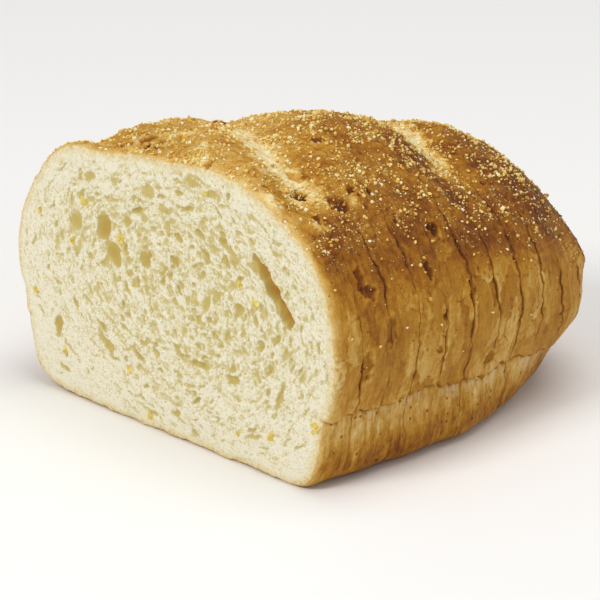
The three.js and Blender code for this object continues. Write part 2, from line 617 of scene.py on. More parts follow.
    def _skin(self, points: np.ndarray, side: np.ndarray) -> tuple[np.ndarray, np.ndarray]:
        """The side's thin skin: upright wrinkles, and flakes that lift at their edges.

        Args:
            points: places on the smooth skin, shape (n, 3).
            side: how much of the side each place belongs to, from 0 to 1.

        Returns:
            The rise and the browning.
        """
        bent = points + 0.9 * np.column_stack([noise(points, 5.0, s) for s in (111, 112, 113)])
        bent += 0.35 * np.column_stack([noise(points, 1.6, s) for s in (114, 115, 116)])
        fold = (1.0 - np.abs(noise(bent, (9.0, 2.6, 13.0), 6))) ** 9
        fine = layered_noise(points, (5.0, 0.9, 7.0), 3, 7)
        rise = side * (0.26 * noise(bent, (7.0, 3.4, 7.0), 5) - 0.24 * fold + 0.16 * fine)
        brown = side * (0.09 * fold + 0.07 * fine)
        return rise, brown

    def _crown(
        self, points: np.ndarray, crown: np.ndarray, bare: np.ndarray
    ) -> tuple[np.ndarray, np.ndarray]:
        """The crown's crackled skin and the torn crumb inside its scores.

        Args:
            points: places on the smooth skin, shape (n, 3).
            crown: how much of the crown each place belongs to, from 0 to 1.
            bare: how much of a score's torn strip shows, from 0 to 1.

        Returns:
            The rise and the browning.
        """
        lump = layered_noise(points, 2.3, 3, 3)
        own, _, border = plates(points, 3.4, 130)
        crack = np.exp(-((border / 0.07) ** 2))
        fine = layered_noise(points, 1.25, 2, 16)
        rise = crown * (0.5 * lump + 0.14 * own - 0.1 * crack + 0.13 * fine)
        rise += bare * (0.7 * layered_noise(points, (1.3, 2.2, 1.5), 3, 8) - 0.45)
        lit = smooth_between(-0.3, 0.6, noise(points, 11.0, 9))
        brown = crown * (0.07 * crack - 0.11 * lump + 0.1 * lit + 0.03 - 0.06 * fine)
        diagonal = points[:, 0] + points[:, 1] + 9.0 * noise(points, 12.0, 10)
        pale = smooth_between(12.0, -34.0, diagonal)
        brown -= 0.22 * crown * pale
        return rise, brown

    def _band(
        self, points: np.ndarray, slit: np.ndarray, band: np.ndarray, fade: np.ndarray
    ) -> tuple[np.ndarray, np.ndarray]:
        """The foot below the crease, and the skin's lip that hangs over it.

        Args:
            points: places on the smooth skin, shape (n, 3).
            slit: how far each place is above the crease.
            band: how much of the foot each place belongs to, from 0 to 1.
            fade: 1 where there is a crease, 0 beyond it.

        Returns:
            The rise and the browning, with painted shade in the crease.
        """
        groove = np.exp(-((slit / 0.5) ** 2)) * fade
        lip = np.exp(-np.clip(slit, 0.0, None) / 4.5) * (slit > 0.0)
        shelf = np.exp(-np.clip(-slit, 0.0, None) / 9.0) * (slit <= 0.0)
        rough = layered_noise(points, 1.8, 3, 21)
        streak = layered_noise(points, (8.0, 1.5, 8.0), 3, 22)
        rise = fade * (0.6 * lip - 0.6 * shelf) - 0.8 * groove
        rise += band * (0.2 * rough + 0.22 * streak)
        low = smooth_between(19.0, 5.0, points[:, 2])
        # The groove term darkens the crease: painted shade under the lip.
        brown = 0.26 * groove + band * (0.25 * low - 0.14 + 0.2 * streak + 0.08 * rough)
        return rise, brown

    def _underside(self, points: np.ndarray, under: np.ndarray) -> tuple[np.ndarray, np.ndarray]:
        """The underside, which baked on the hearth.

        Args:
            points: places on the smooth skin, shape (n, 3).
            under: how much of the underside each place belongs to, from 0 to 1.

        Returns:
            The rise and the browning.
        """
        rise = under * 0.12 * layered_noise(points, 3.0, 3, 11)
        brown = under * (0.05 + 0.08 * layered_noise(points, 6.0, 3, 26))
        return rise, brown

    def _specks(
        self, points: np.ndarray, crown: np.ndarray, band: np.ndarray
    ) -> tuple[np.ndarray, np.ndarray]:
        """Small burst bubbles: the most on the crown and the foot.

        Args:
            points: places on the smooth skin, shape (n, 3).
            crown: how much of the crown each place belongs to, from 0 to 1.
            band: how much of the foot each place belongs to, from 0 to 1.

        Returns:
            The rise and the browning.
        """
        rise, brown = np.zeros(len(points)), np.zeros(len(points))
        for size, radius, rare, seed in ((4.6, 0.55, 0.2, 140), (9.0, 1.15, 0.35, 150)):
            own, away, _ = plates(points, size, seed)
            burst = np.sqrt(np.clip(1.0 - (away * size / radius) ** 2, 0.0, 1.0))
            burst *= (own > rare) * (0.2 + 0.8 * np.maximum(crown, band))
            rise -= 0.5 * radius * burst
            brown += 0.26 * burst
        return rise, brown

    def holes(self, points: np.ndarray) -> np.ndarray:
        """How far into a dark pit each point lies, from 0 outside to 1 in the middle."""
        _, brown = self._torn_places(points)
        return smooth_between(0.05, 0.2, brown)

    def _torn_places(self, points: np.ndarray) -> tuple[np.ndarray, np.ndarray]:
        """The larger blisters and tears, with ragged outlines.

        Args:
            points: places on the smooth skin, shape (n, 3).

        Returns:
            The rise and the browning.
        """
        warped = points + 1.1 * np.column_stack([noise(points, 2.4, s) for s in (51, 52, 53)])
        warped += 0.7 * np.column_stack([noise(points, 1.0, s) for s in (54, 55, 56)])
        rise, brown = np.zeros(len(points)), np.zeros(len(points))
        for pit in self.pits:
            hollow, rim = pit.hollow(warped), pit.rim(warped)
            rise += 0.3 * rim - pit.depth * hollow
            brown += pit.dark * np.minimum(1.0, 1.5 * hollow) - 0.1 * rim
        return rise, brown


# --------------------------------------
# The crumb
# --------------------------------------


@dataclass(frozen=True)
class Cell:
    """One open gas cell in the crumb, seen on a cut.

    Args:
        at: its middle as [x, z].
        half: half its length and half its width.
        turn: degrees from X to its length, anticlockwise seen from the cut end.
        depth: how far it goes in behind the cut.
    """

    at: tuple[float, float]
    half: tuple[float, float]
    turn: float
    depth: float


@dataclass(frozen=True)
class CellKind:
    """The gas cells of one size range.

    Args:
        count: how many there are on a cut.
        radii: smallest and largest half width.
        bowl: depth as a share of the half width.
    """

    count: int
    radii: tuple[float, float]
    bowl: float


@dataclass
class CrumbCut:
    """The crumb on one cut across the loaf, as a map of depths behind the cut.

    Args:
        fine: whether it has the small cells and fine_step too, as on a face that shows.
        cells: cells with places of their own; without them a few large ones are scattered.
        swirl: [x, z] that the crumb's grain runs round, with spread as its half sizes.
        low: lowest [x, z] of the map, which is size wide and high.
    """

    seed: int
    fine: bool
    cells: tuple[Cell, ...] = ()
    swirl: tuple[float, float] = (7.0, 49.0)
    spread: tuple[float, float] = (72.0, 46.0)
    low: tuple[float, float] = (-82.0, -4.0)
    size: tuple[float, float] = (164.0, 108.0)
    fine_step: float = 0.2
    coarse_step: float = 0.4
    small: tuple[CellKind, ...] = (
        CellKind(30000, (0.22, 0.5), 0.8),
        CellKind(6500, (0.4, 0.85), 0.85),
    )
    middling: tuple[CellKind, ...] = (
        CellKind(1300, (0.65, 1.3), 0.9),
        CellKind(230, (1.0, 1.8), 0.8),
    )
    large: CellKind = CellKind(14, (2.0, 3.6), 0.8)
    step: float = field(init=False)
    depth: np.ndarray = field(init=False)

    def __post_init__(self) -> None:
        """Stamp every cell into the map."""
        self.step = self.fine_step if self.fine else self.coarse_step
        shape = (int(self.size[0] / self.step), int(self.size[1] / self.step))
        self.depth = np.zeros(shape)
        chance = np.random.default_rng(self.seed)
        for kind in (self.small if self.fine else ()) + self.middling:
            self._sprinkle(chance, kind)
        if not self.cells:
            self._sprinkle(chance, self.large)
        for cell in self.cells:
            self._stamp(
                np.array([cell.at]), np.array([cell.half[0]]), np.array([cell.half[1]]),
                np.radians([cell.turn]), np.array([cell.depth]),
            )

    def _sprinkle(self, chance: np.random.Generator, kind: CellKind) -> None:
        """Scatter cells of one kind over the cut.

        They run round the swirl, and grow longer and slimmer towards the crust.

        Args:
            chance: the source of random numbers.
            kind: the kind of cell.
        """
        count = kind.count
        place = np.column_stack(
            [chance.uniform(-76, 76, count), 98.0 * chance.random(count) ** 0.85 - 1.0]
        )
        offset = (place - np.array(self.swirl)) / np.array(self.spread)
        out = np.clip(np.hypot(offset[:, 0], offset[:, 1]), 0.0, 1.15)
        along = np.arctan2(offset[:, 0] / self.spread[0], -offset[:, 1] / self.spread[1])
        along += chance.normal(0.0, 0.35, count) * (1.25 - out)
        smallest, largest = kind.radii
        half = smallest + (largest - smallest) * chance.random(count) ** 1.7
        half *= 1.0 - 0.42 * out**3
        stretch = 1.1 + chance.random(count) * (0.5 + 2.1 * out**2)
        depth = kind.bowl * half * chance.uniform(0.6, 1.3, count)
        self._stamp(place, half * stretch, half / stretch**0.35, along, depth)

    def _stamp(
        self,
        place: np.ndarray,
        length: np.ndarray,
        width: np.ndarray,
        turn: np.ndarray,
        depth: np.ndarray,
    ) -> None:
        """Press bowls into the map, keeping the deepest where they overlap.

        Args:
            place: middles as [x, z], shape (n, 2).
            length: half lengths.
            width: half widths.
            turn: directions of the lengths in radians.
            depth: depths.
        """
        reach = int(math.ceil(length.max() / self.step)) + 1
        window = np.arange(-reach, reach + 1)
        middle = (place - np.array(self.low)) / self.step
        corner = np.round(middle).astype(int)
        i = corner[:, 0, None, None] + window[None, :, None]
        j = corner[:, 1, None, None] + window[None, None, :]
        dx = (i - middle[:, 0, None, None]) * self.step
        dz = (j - middle[:, 1, None, None]) * self.step
        c, s = np.cos(turn)[:, None, None], np.sin(turn)[:, None, None]
        u = (dx * c + dz * s) / length[:, None, None]
        v = (dz * c - dx * s) / width[:, None, None]
        bowl = depth[:, None, None] * np.sqrt(np.clip(1.0 - u**2 - v**2, 0.0, 1.0))
        i, j = np.broadcast_arrays(i, j)
        columns, rows = self.depth.shape
        inside = (bowl > 0) & (i >= 0) & (i < columns) & (j >= 0) & (j < rows)
        np.maximum.at(self.depth, (i[inside], j[inside]), bowl[inside])

    def read(self, x: np.ndarray, z: np.ndarray) -> np.ndarray:
        """Read the depth behind the cut.

        Args:
            x: places across the loaf.
            z: heights.

        Returns:
            How far the crumb lies behind the cut at each place.
        """
        # Bent a little, so that no cell keeps a smooth oval outline.
        points = np.column_stack([x, z, np.full(len(x), float(self.seed))])
        x = x + 0.38 * noise(points, 1.2, 71) + 0.9 * noise(points, 3.4, 72)
        z = z + 0.38 * noise(points, 1.2, 73) + 0.9 * noise(points, 3.4, 74)
        i = np.clip((x - self.low[0]) / self.step, 0, self.depth.shape[0] - 1.001)
        j = np.clip((z - self.low[1]) / self.step, 0, self.depth.shape[1] - 1.001)
        i0, j0 = i.astype(int), j.astype(int)
        fi, fj = i - i0, j - j0
        d = self.depth
        return (
            (1 - fi) * (1 - fj) * d[i0, j0]
            + fi * (1 - fj) * d[i0 + 1, j0]
            + (1 - fi) * fj * d[i0, j0 + 1]
            + fi * fj * d[i0 + 1, j0 + 1]
        )


@dataclass
class BladeCut:
    """Where a blade went through the loaf: the wandering line that shows on the crust.

    Args:
        y: its place along the loaf.
        number: which cut it is, counted from the open end.
        end: whether it is the open end itself.
        jog: how far the line steps aside where the crust cracked.
        touching: half the gap where the crusts touch.
    """

    y: float
    number: int
    end: bool = False
    jog: float = 0.5
    touching: float = 0.01

    def _round_loaf(self, angle: np.ndarray) -> np.ndarray:
        """Places to read noise at, so that it runs on round the loaf and differs by cut."""
        along = np.full(len(angle), 40.0 * self.number)
        return np.column_stack([60.0 * np.sin(angle), along, -60.0 * np.cos(angle)])

    def opening(self, angle: np.ndarray) -> np.ndarray:
        """How far the cut has opened: it gapes on the sides and is nearly shut on the crown.

        Args:
            angle: angles round the loaf.

        Returns:
            The opening at each angle, from 0 where the crusts touch to 1.
        """
        place = self._round_loaf(angle)
        up = -np.cos(angle)
        beside = smooth_between(0.66, 0.45, up) * smooth_between(0.3, 0.05, -up)
        gaping = noise(place, 11.0, 84) + 0.6 * noise(place, 3.5, 85)
        return smooth_between(-0.45, 0.55, gaping) * (0.02 + 0.98 * beside)

    def edge(self, angle: np.ndarray, face: Face) -> np.ndarray:
        """Where a piece's crust ends at this cut.

        Args:
            angle: angles round the loaf.
            face: the piece's face that this cut makes.

        Returns:
            The lengthwise place of the edge at each angle.
        """
        place = self._round_loaf(angle)
        if self.end:
            return self.y + 0.9 + 0.45 * layered_noise(place, 5.0, 3, 82)
        wander = 0.5 * noise(place, 15.0, 81) + 0.35 * noise(place, 4.2, 82)
        wander += 0.4 * noise(place, 1.5, 83)
        for size, seed in ((8.0, 80), (3.0, 79)):
            stepped = smooth_between(-0.06, 0.06, noise(place, size, seed))
            wander += self.jog * stepped - self.jog / 2
        ragged = (0.5 + 0.5 * noise(place, 1.5, 86 + face.value)) ** 2
        half_gap = self.touching + self.opening(angle) * (0.04 + 0.34 * ragged)
        return self.y + wander + face.value * half_gap


# --------------------------------------
# Meshes
# --------------------------------------


def mesh_object(
    name: str,
    points: np.ndarray,
    quads: np.ndarray,
    triangles: np.ndarray,
    materials: list[bpy.types.Material],
    face_material: np.ndarray | None = None,
    masks: dict[str, np.ndarray] | None = None,
    faceted: bool = False,
) -> bpy.types.Object:
    """Make a mesh object in the scene.

    Args:
        name: the piece's name.
        points: vertices in millimetres, shape (n, 3).
        quads: four vertex numbers for each quad.
        triangles: three vertex numbers for each triangle.
        materials: the piece's materials in slot order.
        face_material: slot number of each face, quads first.
        masks: one number for each vertex, by name, for the materials to read.
        faceted: whether its faces look flat, as on a broken grain.

    Returns:
        The new object.
    """
    mesh = bpy.data.meshes.new(name)
    mesh.vertices.add(len(points))
    mesh.vertices.foreach_set("co", (points * MM).astype(np.float32).ravel())
    corners = np.concatenate([quads.ravel(), triangles.ravel()]).astype(np.int32)
    totals = np.concatenate([np.full(len(quads), 4), np.full(len(triangles), 3)]).astype(np.int32)
    mesh.loops.add(len(corners))
    mesh.loops.foreach_set("vertex_index", corners)
    mesh.polygons.add(len(totals))
    starts = np.concatenate([[0], np.cumsum(totals)[:-1]]).astype(np.int32)
    mesh.polygons.foreach_set("loop_start", starts)
    mesh.polygons.foreach_set("loop_total", totals)
    for material in materials:
        mesh.materials.append(material)
    if face_material is not None:
        mesh.polygons.foreach_set("material_index", face_material.astype(np.int32))
    mesh.update(calc_edges=True)
    if faceted:
        mesh.shade_flat()
    else:
        mesh.shade_smooth()
    for mask, values in (masks or {}).items():
        layer = mesh.attributes.new(mask, "FLOAT", "POINT")
        layer.data.foreach_set("value", values.astype(np.float32))
    made = bpy.data.objects.new(name, mesh)
    bpy.context.scene.collection.objects.link(made)
    return made


def surface_directions(grid: np.ndarray) -> np.ndarray:
    """Find which way a ringed surface faces.

    Args:
        grid: points by angle and row, shape (angles, rows, 3).

    Returns:
        Outward unit vectors of the same shape.
    """
    around = np.roll(grid, -1, axis=0) - np.roll(grid, 1, axis=0)
    along = np.gradient(grid, axis=1)
    out = np.cross(along, around)
    return out / np.maximum(np.linalg.norm(out, axis=2, keepdims=True), 1e-9)


def filled_outline(
    outline: np.ndarray, inner: np.ndarray, middle: tuple[float, float]
) -> np.ndarray:
    """Fill a closed outline with triangles through given inner points.

    Args:
        outline: the outline's corners in order, shape (n, 2), star-shaped about its middle.
        inner: points inside it, shape (m, 2).
        middle: the outline's middle.

    Returns:
        Triangles as vertex numbers, anticlockwise, where the outline comes before the inner points.
    """
    corners = np.vstack([outline, inner])
    ring = [(i, (i + 1) % len(outline)) for i in range(len(outline))]
    filled = delaunay_2d_cdt([Vector(p) for p in corners], ring, [], 1, 1e-5, True)
    faces, origin = filled[2], filled[3]
    first = np.array([ids[0] if ids else -1 for ids in origin])
    triangles = first[np.array(faces)]
    triangles = triangles[(triangles >= 0).all(axis=1)]
    # The filling also spans the outline's hollows, so what lies outside it is taken away.
    away = corners[triangles].mean(axis=1) - np.array(middle)
    edge = outline - np.array(middle)
    turn, turned = np.arctan2(*edge.T[::-1]), np.arctan2(*away.T[::-1])
    order = np.argsort(turn)
    limit = np.interp(turned, turn[order], np.hypot(*edge[order].T), period=math.tau)
    outer = (triangles < len(outline)).all(axis=1)
    return triangles[~outer | (np.hypot(*away.T) < limit)]


@dataclass(frozen=True)
class Fineness:
    """The distances between a piece's points: along its crust, and on its two faces."""

    along_step: float = 0.45
    front_step: float = 1.25
    back_step: float = 1.25


@dataclass
class LoafPiece:
    """One slice, or the heel: crust round crumb, cut flat at the front and perhaps the back.

    Its crust has points at the given angles round the loaf, and is rounded over edge_round beside
    a cut, or end_round at the open end.
    """

    name: str
    angle: np.ndarray
    skin: LoafSkin
    crust: Crust
    front: BladeCut
    front_crumb: CrumbCut
    back: BladeCut | None
    back_crumb: CrumbCut | None
    fineness: Fineness
    edge_round: float = 0.5
    end_round: float = 2.0
    crumb_browning: float = 0.4
    grid: np.ndarray = field(init=False)
    facing: np.ndarray = field(init=False)
    masks: dict[str, np.ndarray] = field(init=False)

    def build(self, materials: list[bpy.types.Material]) -> bpy.types.Object:
        """Make the piece's mesh.

        Args:
            materials: the crust's and the crumb's.

        Returns:
            The finished object.
        """
        self._lay_crust()
        points = [self.grid.reshape(-1, 3)]
        angles, rows = self.grid.shape[:2]
        number = np.arange(angles * rows).reshape(angles, rows)
        after = np.roll(number, -1, axis=0)
        quads = np.stack(
            [number[:, :-1], number[:, 1:], after[:, 1:], after[:, :-1]], axis=-1
        ).reshape(-1, 4)
        triangles = []
        masks = {key: [value.ravel()] for key, value in self.masks.items()}
        total = angles * rows
        ends = [(number[:, 0], self.front_crumb, self.fineness.front_step, Face.FRONT)]
        if self.back_crumb is not None:
            ends.append((number[:, -1], self.back_crumb, self.fineness.back_step, Face.BACK))
        else:
            # The heel closes in a fan round its tip.
            tip = self.grid[:, -1].mean(axis=0)
            points.append(tip[None])
            for key in masks:
                masks[key].append(self.masks[key][:, -1].mean(keepdims=True))
            last = number[:, -1]
            fan = np.column_stack([last, np.full(angles, total), np.roll(last, -1)])
            triangles.append(fan)
            total += 1
        crust_faces = len(quads) + sum(len(t) for t in triangles)
        for ring, crumb, step, face in ends:
            inner, corners, depth, rind = self._cut_face(points[0][ring], crumb, step, face)
            on_ring = ring[np.minimum(corners, len(ring) - 1)]
            moved = np.where(corners < len(ring), on_ring, corners - len(ring) + total)
            triangles.append(moved if face is Face.FRONT else moved[:, ::-1])
            points.append(inner)
            count = len(inner)
            known = {"depth": depth, "rind": rind, "brown": np.full(count, self.crumb_browning)}
            for key in masks:
                masks[key].append(known.get(key, np.zeros(count)))
            total += count
        triangles = np.vstack(triangles)
        slot = np.zeros(len(quads) + len(triangles))
        slot[crust_faces:] = 1
        return mesh_object(
            self.name + "_baked", np.vstack(points), quads, triangles, materials, slot,
            {key: np.concatenate(value) for key, value in masks.items()},
        )

    def _even_rows(self) -> np.ndarray:
        """Choose rows that are evenly spaced along the crust's +X side.

        Returns:
            Ring numbers counted from the piece's first, with fractions.
        """
        rings = self.skin.rings_of[self.name]
        fine_rows = np.linspace(0, rings - 1, 40 * rings)
        row_y, row_radius = self.skin.sections(self.name, fine_rows)
        middle = self.skin.point(math.pi / 2, row_radius[:, row_radius.shape[1] // 4], row_y)
        steps = np.linalg.norm(np.diff(middle, axis=0), axis=1)
        walked = np.concatenate([[0.0], np.cumsum(steps)])
        count = max(6, int(round(walked[-1] / self.fineness.along_step)))
        rows = np.interp(np.linspace(0, walked[-1], count), walked, fine_rows)
        return rows if self.back is not None else rows[:-1]

    def _lay_crust(self) -> None:
        """Work out the crust's points, directions and masks."""
        angle, rows = self.angle, self._even_rows()
        row_y, row_radius = self.skin.sections(self.name, rows)
        radius = np.stack([self.skin.radius_at(r, angle) for r in row_radius], axis=1)
        y = self._row_places(angle, row_y)
        smooth = self.skin.point(angle[:, None], radius, y)
        out = surface_directions(smooth)
        flat = smooth.reshape(-1, 3)
        dress = self.crust.dress(flat, out[:, :, 2].ravel())
        shape = radius.shape
        rise = dress["rise"].reshape(shape) - self._edge_fall(y, angle)
        brown = dress["brown"].reshape(shape)
        # Beside the cuts: painted shade and highlight, and wear at the open end.
        brown = brown + self._painted_edge_light_and_wear(brown, y, angle, flat)
        # Relief moves a slice's crust straight out, so that its cuts stay where they are.
        outward = out * np.array([1.0, 0.0 if self.back is not None else 0.6, 1.0])
        grid = smooth + outward * rise[:, :, None]
        grid[:, :, 2] = np.maximum(grid[:, :, 2], 0.0)
        self.grid, self.facing = grid, out
        self.masks = {
            "brown": np.clip(brown, 0.0, 1.0),
            "flour": dress["flour"].reshape(shape),
            "depth": np.zeros(shape),
            # Crumb edge along the crust: real rind at the open end, darker at a hidden cut with
            # painted shade of the gap.
            "rind": np.full(shape, 0.5 if self.front.end else 1.0),
            "flaky": dress["flaky"].reshape(shape),
            "meal": dress["meal"].reshape(shape),
            "foot": dress["foot"].reshape(shape),
        }

    def _row_places(self, angle: np.ndarray, row_y: np.ndarray) -> np.ndarray:
        """Spread the rows between the two wandering edges.

        Args:
            angle: the points' angles round the loaf.
            row_y: each row's place along the skin.

        Returns:
            Each point's place along the loaf, shape (angles, rows).
        """
        front = self.front.edge(angle, Face.FRONT)[:, None]
        share = (row_y - row_y[0]) / (row_y[-1] - row_y[0])
        if self.back is None:
            fade = np.clip(1.0 - share * 3.0, 0.0, 1.0)
            return row_y[None, :] + (front - row_y[0]) * fade[None, :]
        back = self.back.edge(angle, Face.BACK)[:, None]
        return front + (back - front) * share[None, :]

    def _edge_fall(self, y: np.ndarray, angle: np.ndarray) -> np.ndarray:
        """How far the crust rounds down towards its cut edges.

        Args:
            y: the crust points' places along the loaf, shape (angles, rows).
            angle: their angles round the loaf, shape (angles,).

        Returns:
            The fall at each point, shape (angles, rows).
        """
        worn = 2.4 if self.front.end else 0.04 + 0.6 * self.front.opening(angle)[:, None]
        from_front = (y - y[:, :1]) / (self.end_round if self.front.end else self.edge_round)
        fall = np.clip(1.0 - from_front, 0.0, 1.0) ** 2 * worn
        if self.back is not None:
            worn = (0.04 + 0.6 * self.back.opening(angle))[:, None]
            from_back = (y[:, -1:] - y) / self.edge_round
            fall += np.clip(1.0 - from_back, 0.0, 1.0) ** 2 * worn
        return 0.35 * fall

    def _painted_edge_light_and_wear(
        self, brown: np.ndarray, y: np.ndarray, angle: np.ndarray, flat: np.ndarray
    ) -> np.ndarray:
        """Painted shade and highlight beside the cuts, and paler wear at the open end.

        Args:
            brown: how brown the crust is without its cuts, shape (angles, rows).
            y: the crust points' places along the loaf, shape (angles, rows).
            angle: the points' angles round the loaf, shape (angles,).
            flat: the same points, shape (n, 3).

        Returns:
            What to add to the browning.
        """
        uneven = (0.5 + 0.5 * noise(flat, 3.0, 63)).reshape(y.shape)
        from_front = y - y[:, :1]
        if self.front.end:
            change = (0.25 - brown) * np.exp(-from_front / (1.2 + 2.0 * uneven))
        else:
            open_ = self.front.opening(angle)[:, None]
            # Painted shade in the gap of an opened cut, and a painted highlight on the edge just
            # behind it.
            change = 0.26 * open_ * np.exp(-from_front / 0.4)
            change = change - 0.15 * open_ * np.exp(-(((from_front - 0.9) / 0.5) ** 2)) * uneven
        if self.back is not None:
            from_back = y[:, -1:] - y
            # Painted shade in the gap at the back cut.
            change = change + 0.3 * self.back.opening(angle)[:, None] * np.exp(-from_back / 0.4)
        return change

    def _cut_face(
        self, ring: np.ndarray, crumb: CrumbCut, step: float, face: Face
    ) -> tuple[np.ndarray, np.ndarray, np.ndarray, np.ndarray]:
        """Make the crumb of one cut.

        Args:
            ring: the crust's edge round the cut.
            crumb: the cut's crumb.
            step: distance between the face's points.
            face: which of the piece's faces it is.

        Returns:
            The inner points, the triangles, and each inner point's depth mask and its mask of rind
            and painted gap shade.
        """
        inward, shows = face.value, self.front.end and face is Face.FRONT
        low, high = ring.min(axis=0), ring.max(axis=0)
        columns = np.arange(low[0], high[0], step)
        # Rows of an even triangle grid lie closer than its columns.
        lines = np.arange(low[2], high[2], step * math.sqrt(0.75))
        x, z = np.meshgrid(columns, lines, indexing="ij")
        x = x + np.where(np.arange(len(lines)) % 2, step / 2, 0.0)[None, :]
        flat = np.column_stack([x.ravel(), z.ravel()])
        chance = np.random.default_rng(crumb.seed + inward + 500)
        flat += chance.uniform(-0.18, 0.18, flat.shape) * step
        angle = np.arctan2(flat[:, 0], self.skin.axis_z - flat[:, 1]) % math.tau
        edge_angle = np.arctan2(ring[:, 0], self.skin.axis_z - ring[:, 2]) % math.tau
        order = np.argsort(edge_angle)
        edge_radius = np.hypot(ring[:, 0], self.skin.axis_z - ring[:, 2])
        limit = np.interp(angle, edge_angle[order], edge_radius[order], period=math.tau)
        edge_y = np.interp(angle, edge_angle[order], ring[order, 1], period=math.tau)
        radius = np.hypot(flat[:, 0], self.skin.axis_z - flat[:, 1])
        keep = radius < limit - 0.55 * step
        flat, limit, edge_y, radius = flat[keep], limit[keep], edge_y[keep], radius[keep]
        triangles = filled_outline(ring[:, [0, 2]], flat, (0.0, self.skin.axis_z))
        inside = self._inside_distance(flat, ring)
        # The cells stop just inside the crust.
        depth = crumb.read(flat[:, 0], flat[:, 1]) * smooth_between(0.1, 1.2, inside)
        places = np.column_stack([flat[:, 0], np.full(len(flat), crumb.seed * 9.0), flat[:, 1]])
        torn = 0.11 * (1.0 + layered_noise(places, 0.9, 2, 91)) * np.exp(-depth / 0.6)
        torn += 0.2 * (1.0 + noise(places, 11.0, 92))
        plane = self.front.y if shows else ring[:, 1].mean()
        blend = np.exp(-inside / 1.2)
        y = plane + (edge_y - plane) * blend + inward * (depth + torn * (1.0 - blend))
        ragged = inside + 0.5 * noise(places, 1.8, 93) + 0.35 * noise(places, 0.7, 94)
        if shows:
            rind = 0.5 * (1.0 - smooth_between(-0.3, 2.0, ragged))
        else:
            # On a hidden cut the rind runs wide and dark: painted shade in the gap between slices,
            # over the real rind.
            rind = 1.0 - smooth_between(0.7, 2.4, ragged)
        rind = np.maximum(rind, 0.36 * (1.0 - smooth_between(0.3, 4.4, ragged)))
        return np.column_stack([flat[:, 0], y, flat[:, 1]]), triangles, depth, rind

    @staticmethod
    def _inside_distance(flat: np.ndarray, ring: np.ndarray) -> np.ndarray:
        """How far each point of a cut lies inside its edge.

        Args:
            flat: the points as [x, z], shape (n, 2).
            ring: the crust's edge round the cut, shape (m, 3).

        Returns:
            The distance to the nearest corner of the edge.
        """
        tree = KDTree(len(ring))
        for i, corner in enumerate(ring):
            tree.insert((corner[0], corner[2], 0.0), i)
        tree.balance()
        return np.array([tree.find((p[0], p[1], 0.0))[2] for p in flat])


# --------------------------------------
# Cornmeal
# --------------------------------------


@dataclass
class Cornmeal:
    """Coarse cornmeal that was sprinkled on the dough and baked on.

    Args:
        name: the object's name.
        seed: which scattering it is.
        size: smallest and largest radius.
        thickest: grains on a square millimetre where they lie thickest.
        sunk: how far a grain is sunk in, as a share of its width.
        detail: how finely a grain is built.
    """

    name: str
    seed: int
    size: tuple[float, float] = (0.22, 0.76)
    thickest: float = 1.05
    sunk: float = 0.3
    detail: int = 1

    def grain(self) -> tuple[np.ndarray, np.ndarray]:
        """Make one round grain with a radius of one.

        Returns:
            Its vertices and its triangles.
        """
        mesh = bpy.data.meshes.new("grain")
        form = bmesh.new()
        bmesh.ops.create_icosphere(form, subdivisions=self.detail, radius=1.0)
        form.to_mesh(mesh)
        form.free()
        vertices = np.array([v.co for v in mesh.vertices])
        triangles = np.array([p.vertices[:] for p in mesh.polygons])
        bpy.data.meshes.remove(mesh)
        return vertices, triangles

    def scatter(
        self, at: np.ndarray, out: np.ndarray, radius: np.ndarray
    ) -> tuple[np.ndarray, np.ndarray, np.ndarray]:
        """Put a chipped grain at each place.

        Args:
            at: places, shape (n, 3).
            out: outward directions, shape (n, 3).
            radius: each grain's radius.

        Returns:
            Vertices, triangles, and each vertex's shade from 0 to 1.
        """
        chance = np.random.default_rng(self.seed)
        shape, faces = self.grain()
        count = len(at)
        turn = np.linalg.qr(chance.normal(size=(count, 3, 3)))[0]
        stretch = chance.uniform(0.55, 1.25, (count, 1, 3))
        chip = 1.0 + chance.uniform(-0.3, 0.25, (count, len(shape), 1))
        grains = np.einsum("nij,nvj->nvi", turn, shape[None] * stretch * chip)
        lift = (1.0 - self.sunk * 2.0) * radius
        grains = grains * radius[:, None, None] + (at + out * lift[:, None])[:, None, :]
        triangles = faces[None] + np.arange(count)[:, None, None] * len(shape)
        shade = np.repeat(chance.beta(1.6, 2.0, count), len(shape))
        return grains.reshape(-1, 3), triangles.reshape(-1, 3), shade

    def on_crust(self, piece: LoafPiece, material: bpy.types.Material) -> bpy.types.Object:
        """Choose where grains lie on a piece's crust and make them.

        Args:
            piece: a piece whose crust is laid.
            material: their finish.

        Returns:
            The finished object.
        """
        chance = np.random.default_rng(self.seed + 1000)
        grid, out = piece.grid[:, 1:-1], piece.facing[:, 1:-1]
        spacing = np.linalg.norm(np.roll(grid, -1, axis=0) - grid, axis=2)
        spacing = spacing * np.linalg.norm(np.gradient(grid, axis=1), axis=2)
        flat, facing = grid.reshape(-1, 3), out.reshape(-1, 3)
        up = facing[:, 2]
        patch = smooth_between(-0.35, 0.55, layered_noise(flat, 9.0, 3, 101))
        clump = smooth_between(-0.1, 0.6, noise(flat, 2.4, 102))
        thick = smooth_between(0.5, 0.95, up) * (0.22 + 0.9 * patch) * (0.4 + 0.9 * clump)
        # Few lie in a score's bare strip, and many along its borders.
        bare = piece.crust.bare(flat)
        thick *= 1.0 - 0.75 * bare
        thick += 0.5 * np.clip(4.0 * bare * (1.0 - bare), 0.0, 1.0) * smooth_between(0.5, 0.8, up)
        stray = 0.006 + 0.06 * smooth_between(0.3, 0.7, up)
        thick *= 1.0 - 0.85 * piece.crust.holes(flat)
        wanted = self.thickest * np.maximum(thick, stray * (up > -0.2)) * spacing.ravel()
        chosen = np.flatnonzero(chance.random(len(flat)) < wanted)
        radius = self.size[0] + (self.size[1] - self.size[0]) * chance.random(len(chosen)) ** 2.2
        points, triangles, shade = self.scatter(flat[chosen], facing[chosen], radius)
        return mesh_object(
            self.name, points, NO_QUADS, triangles, [material], masks={"shade": shade}, faceted=True
        )


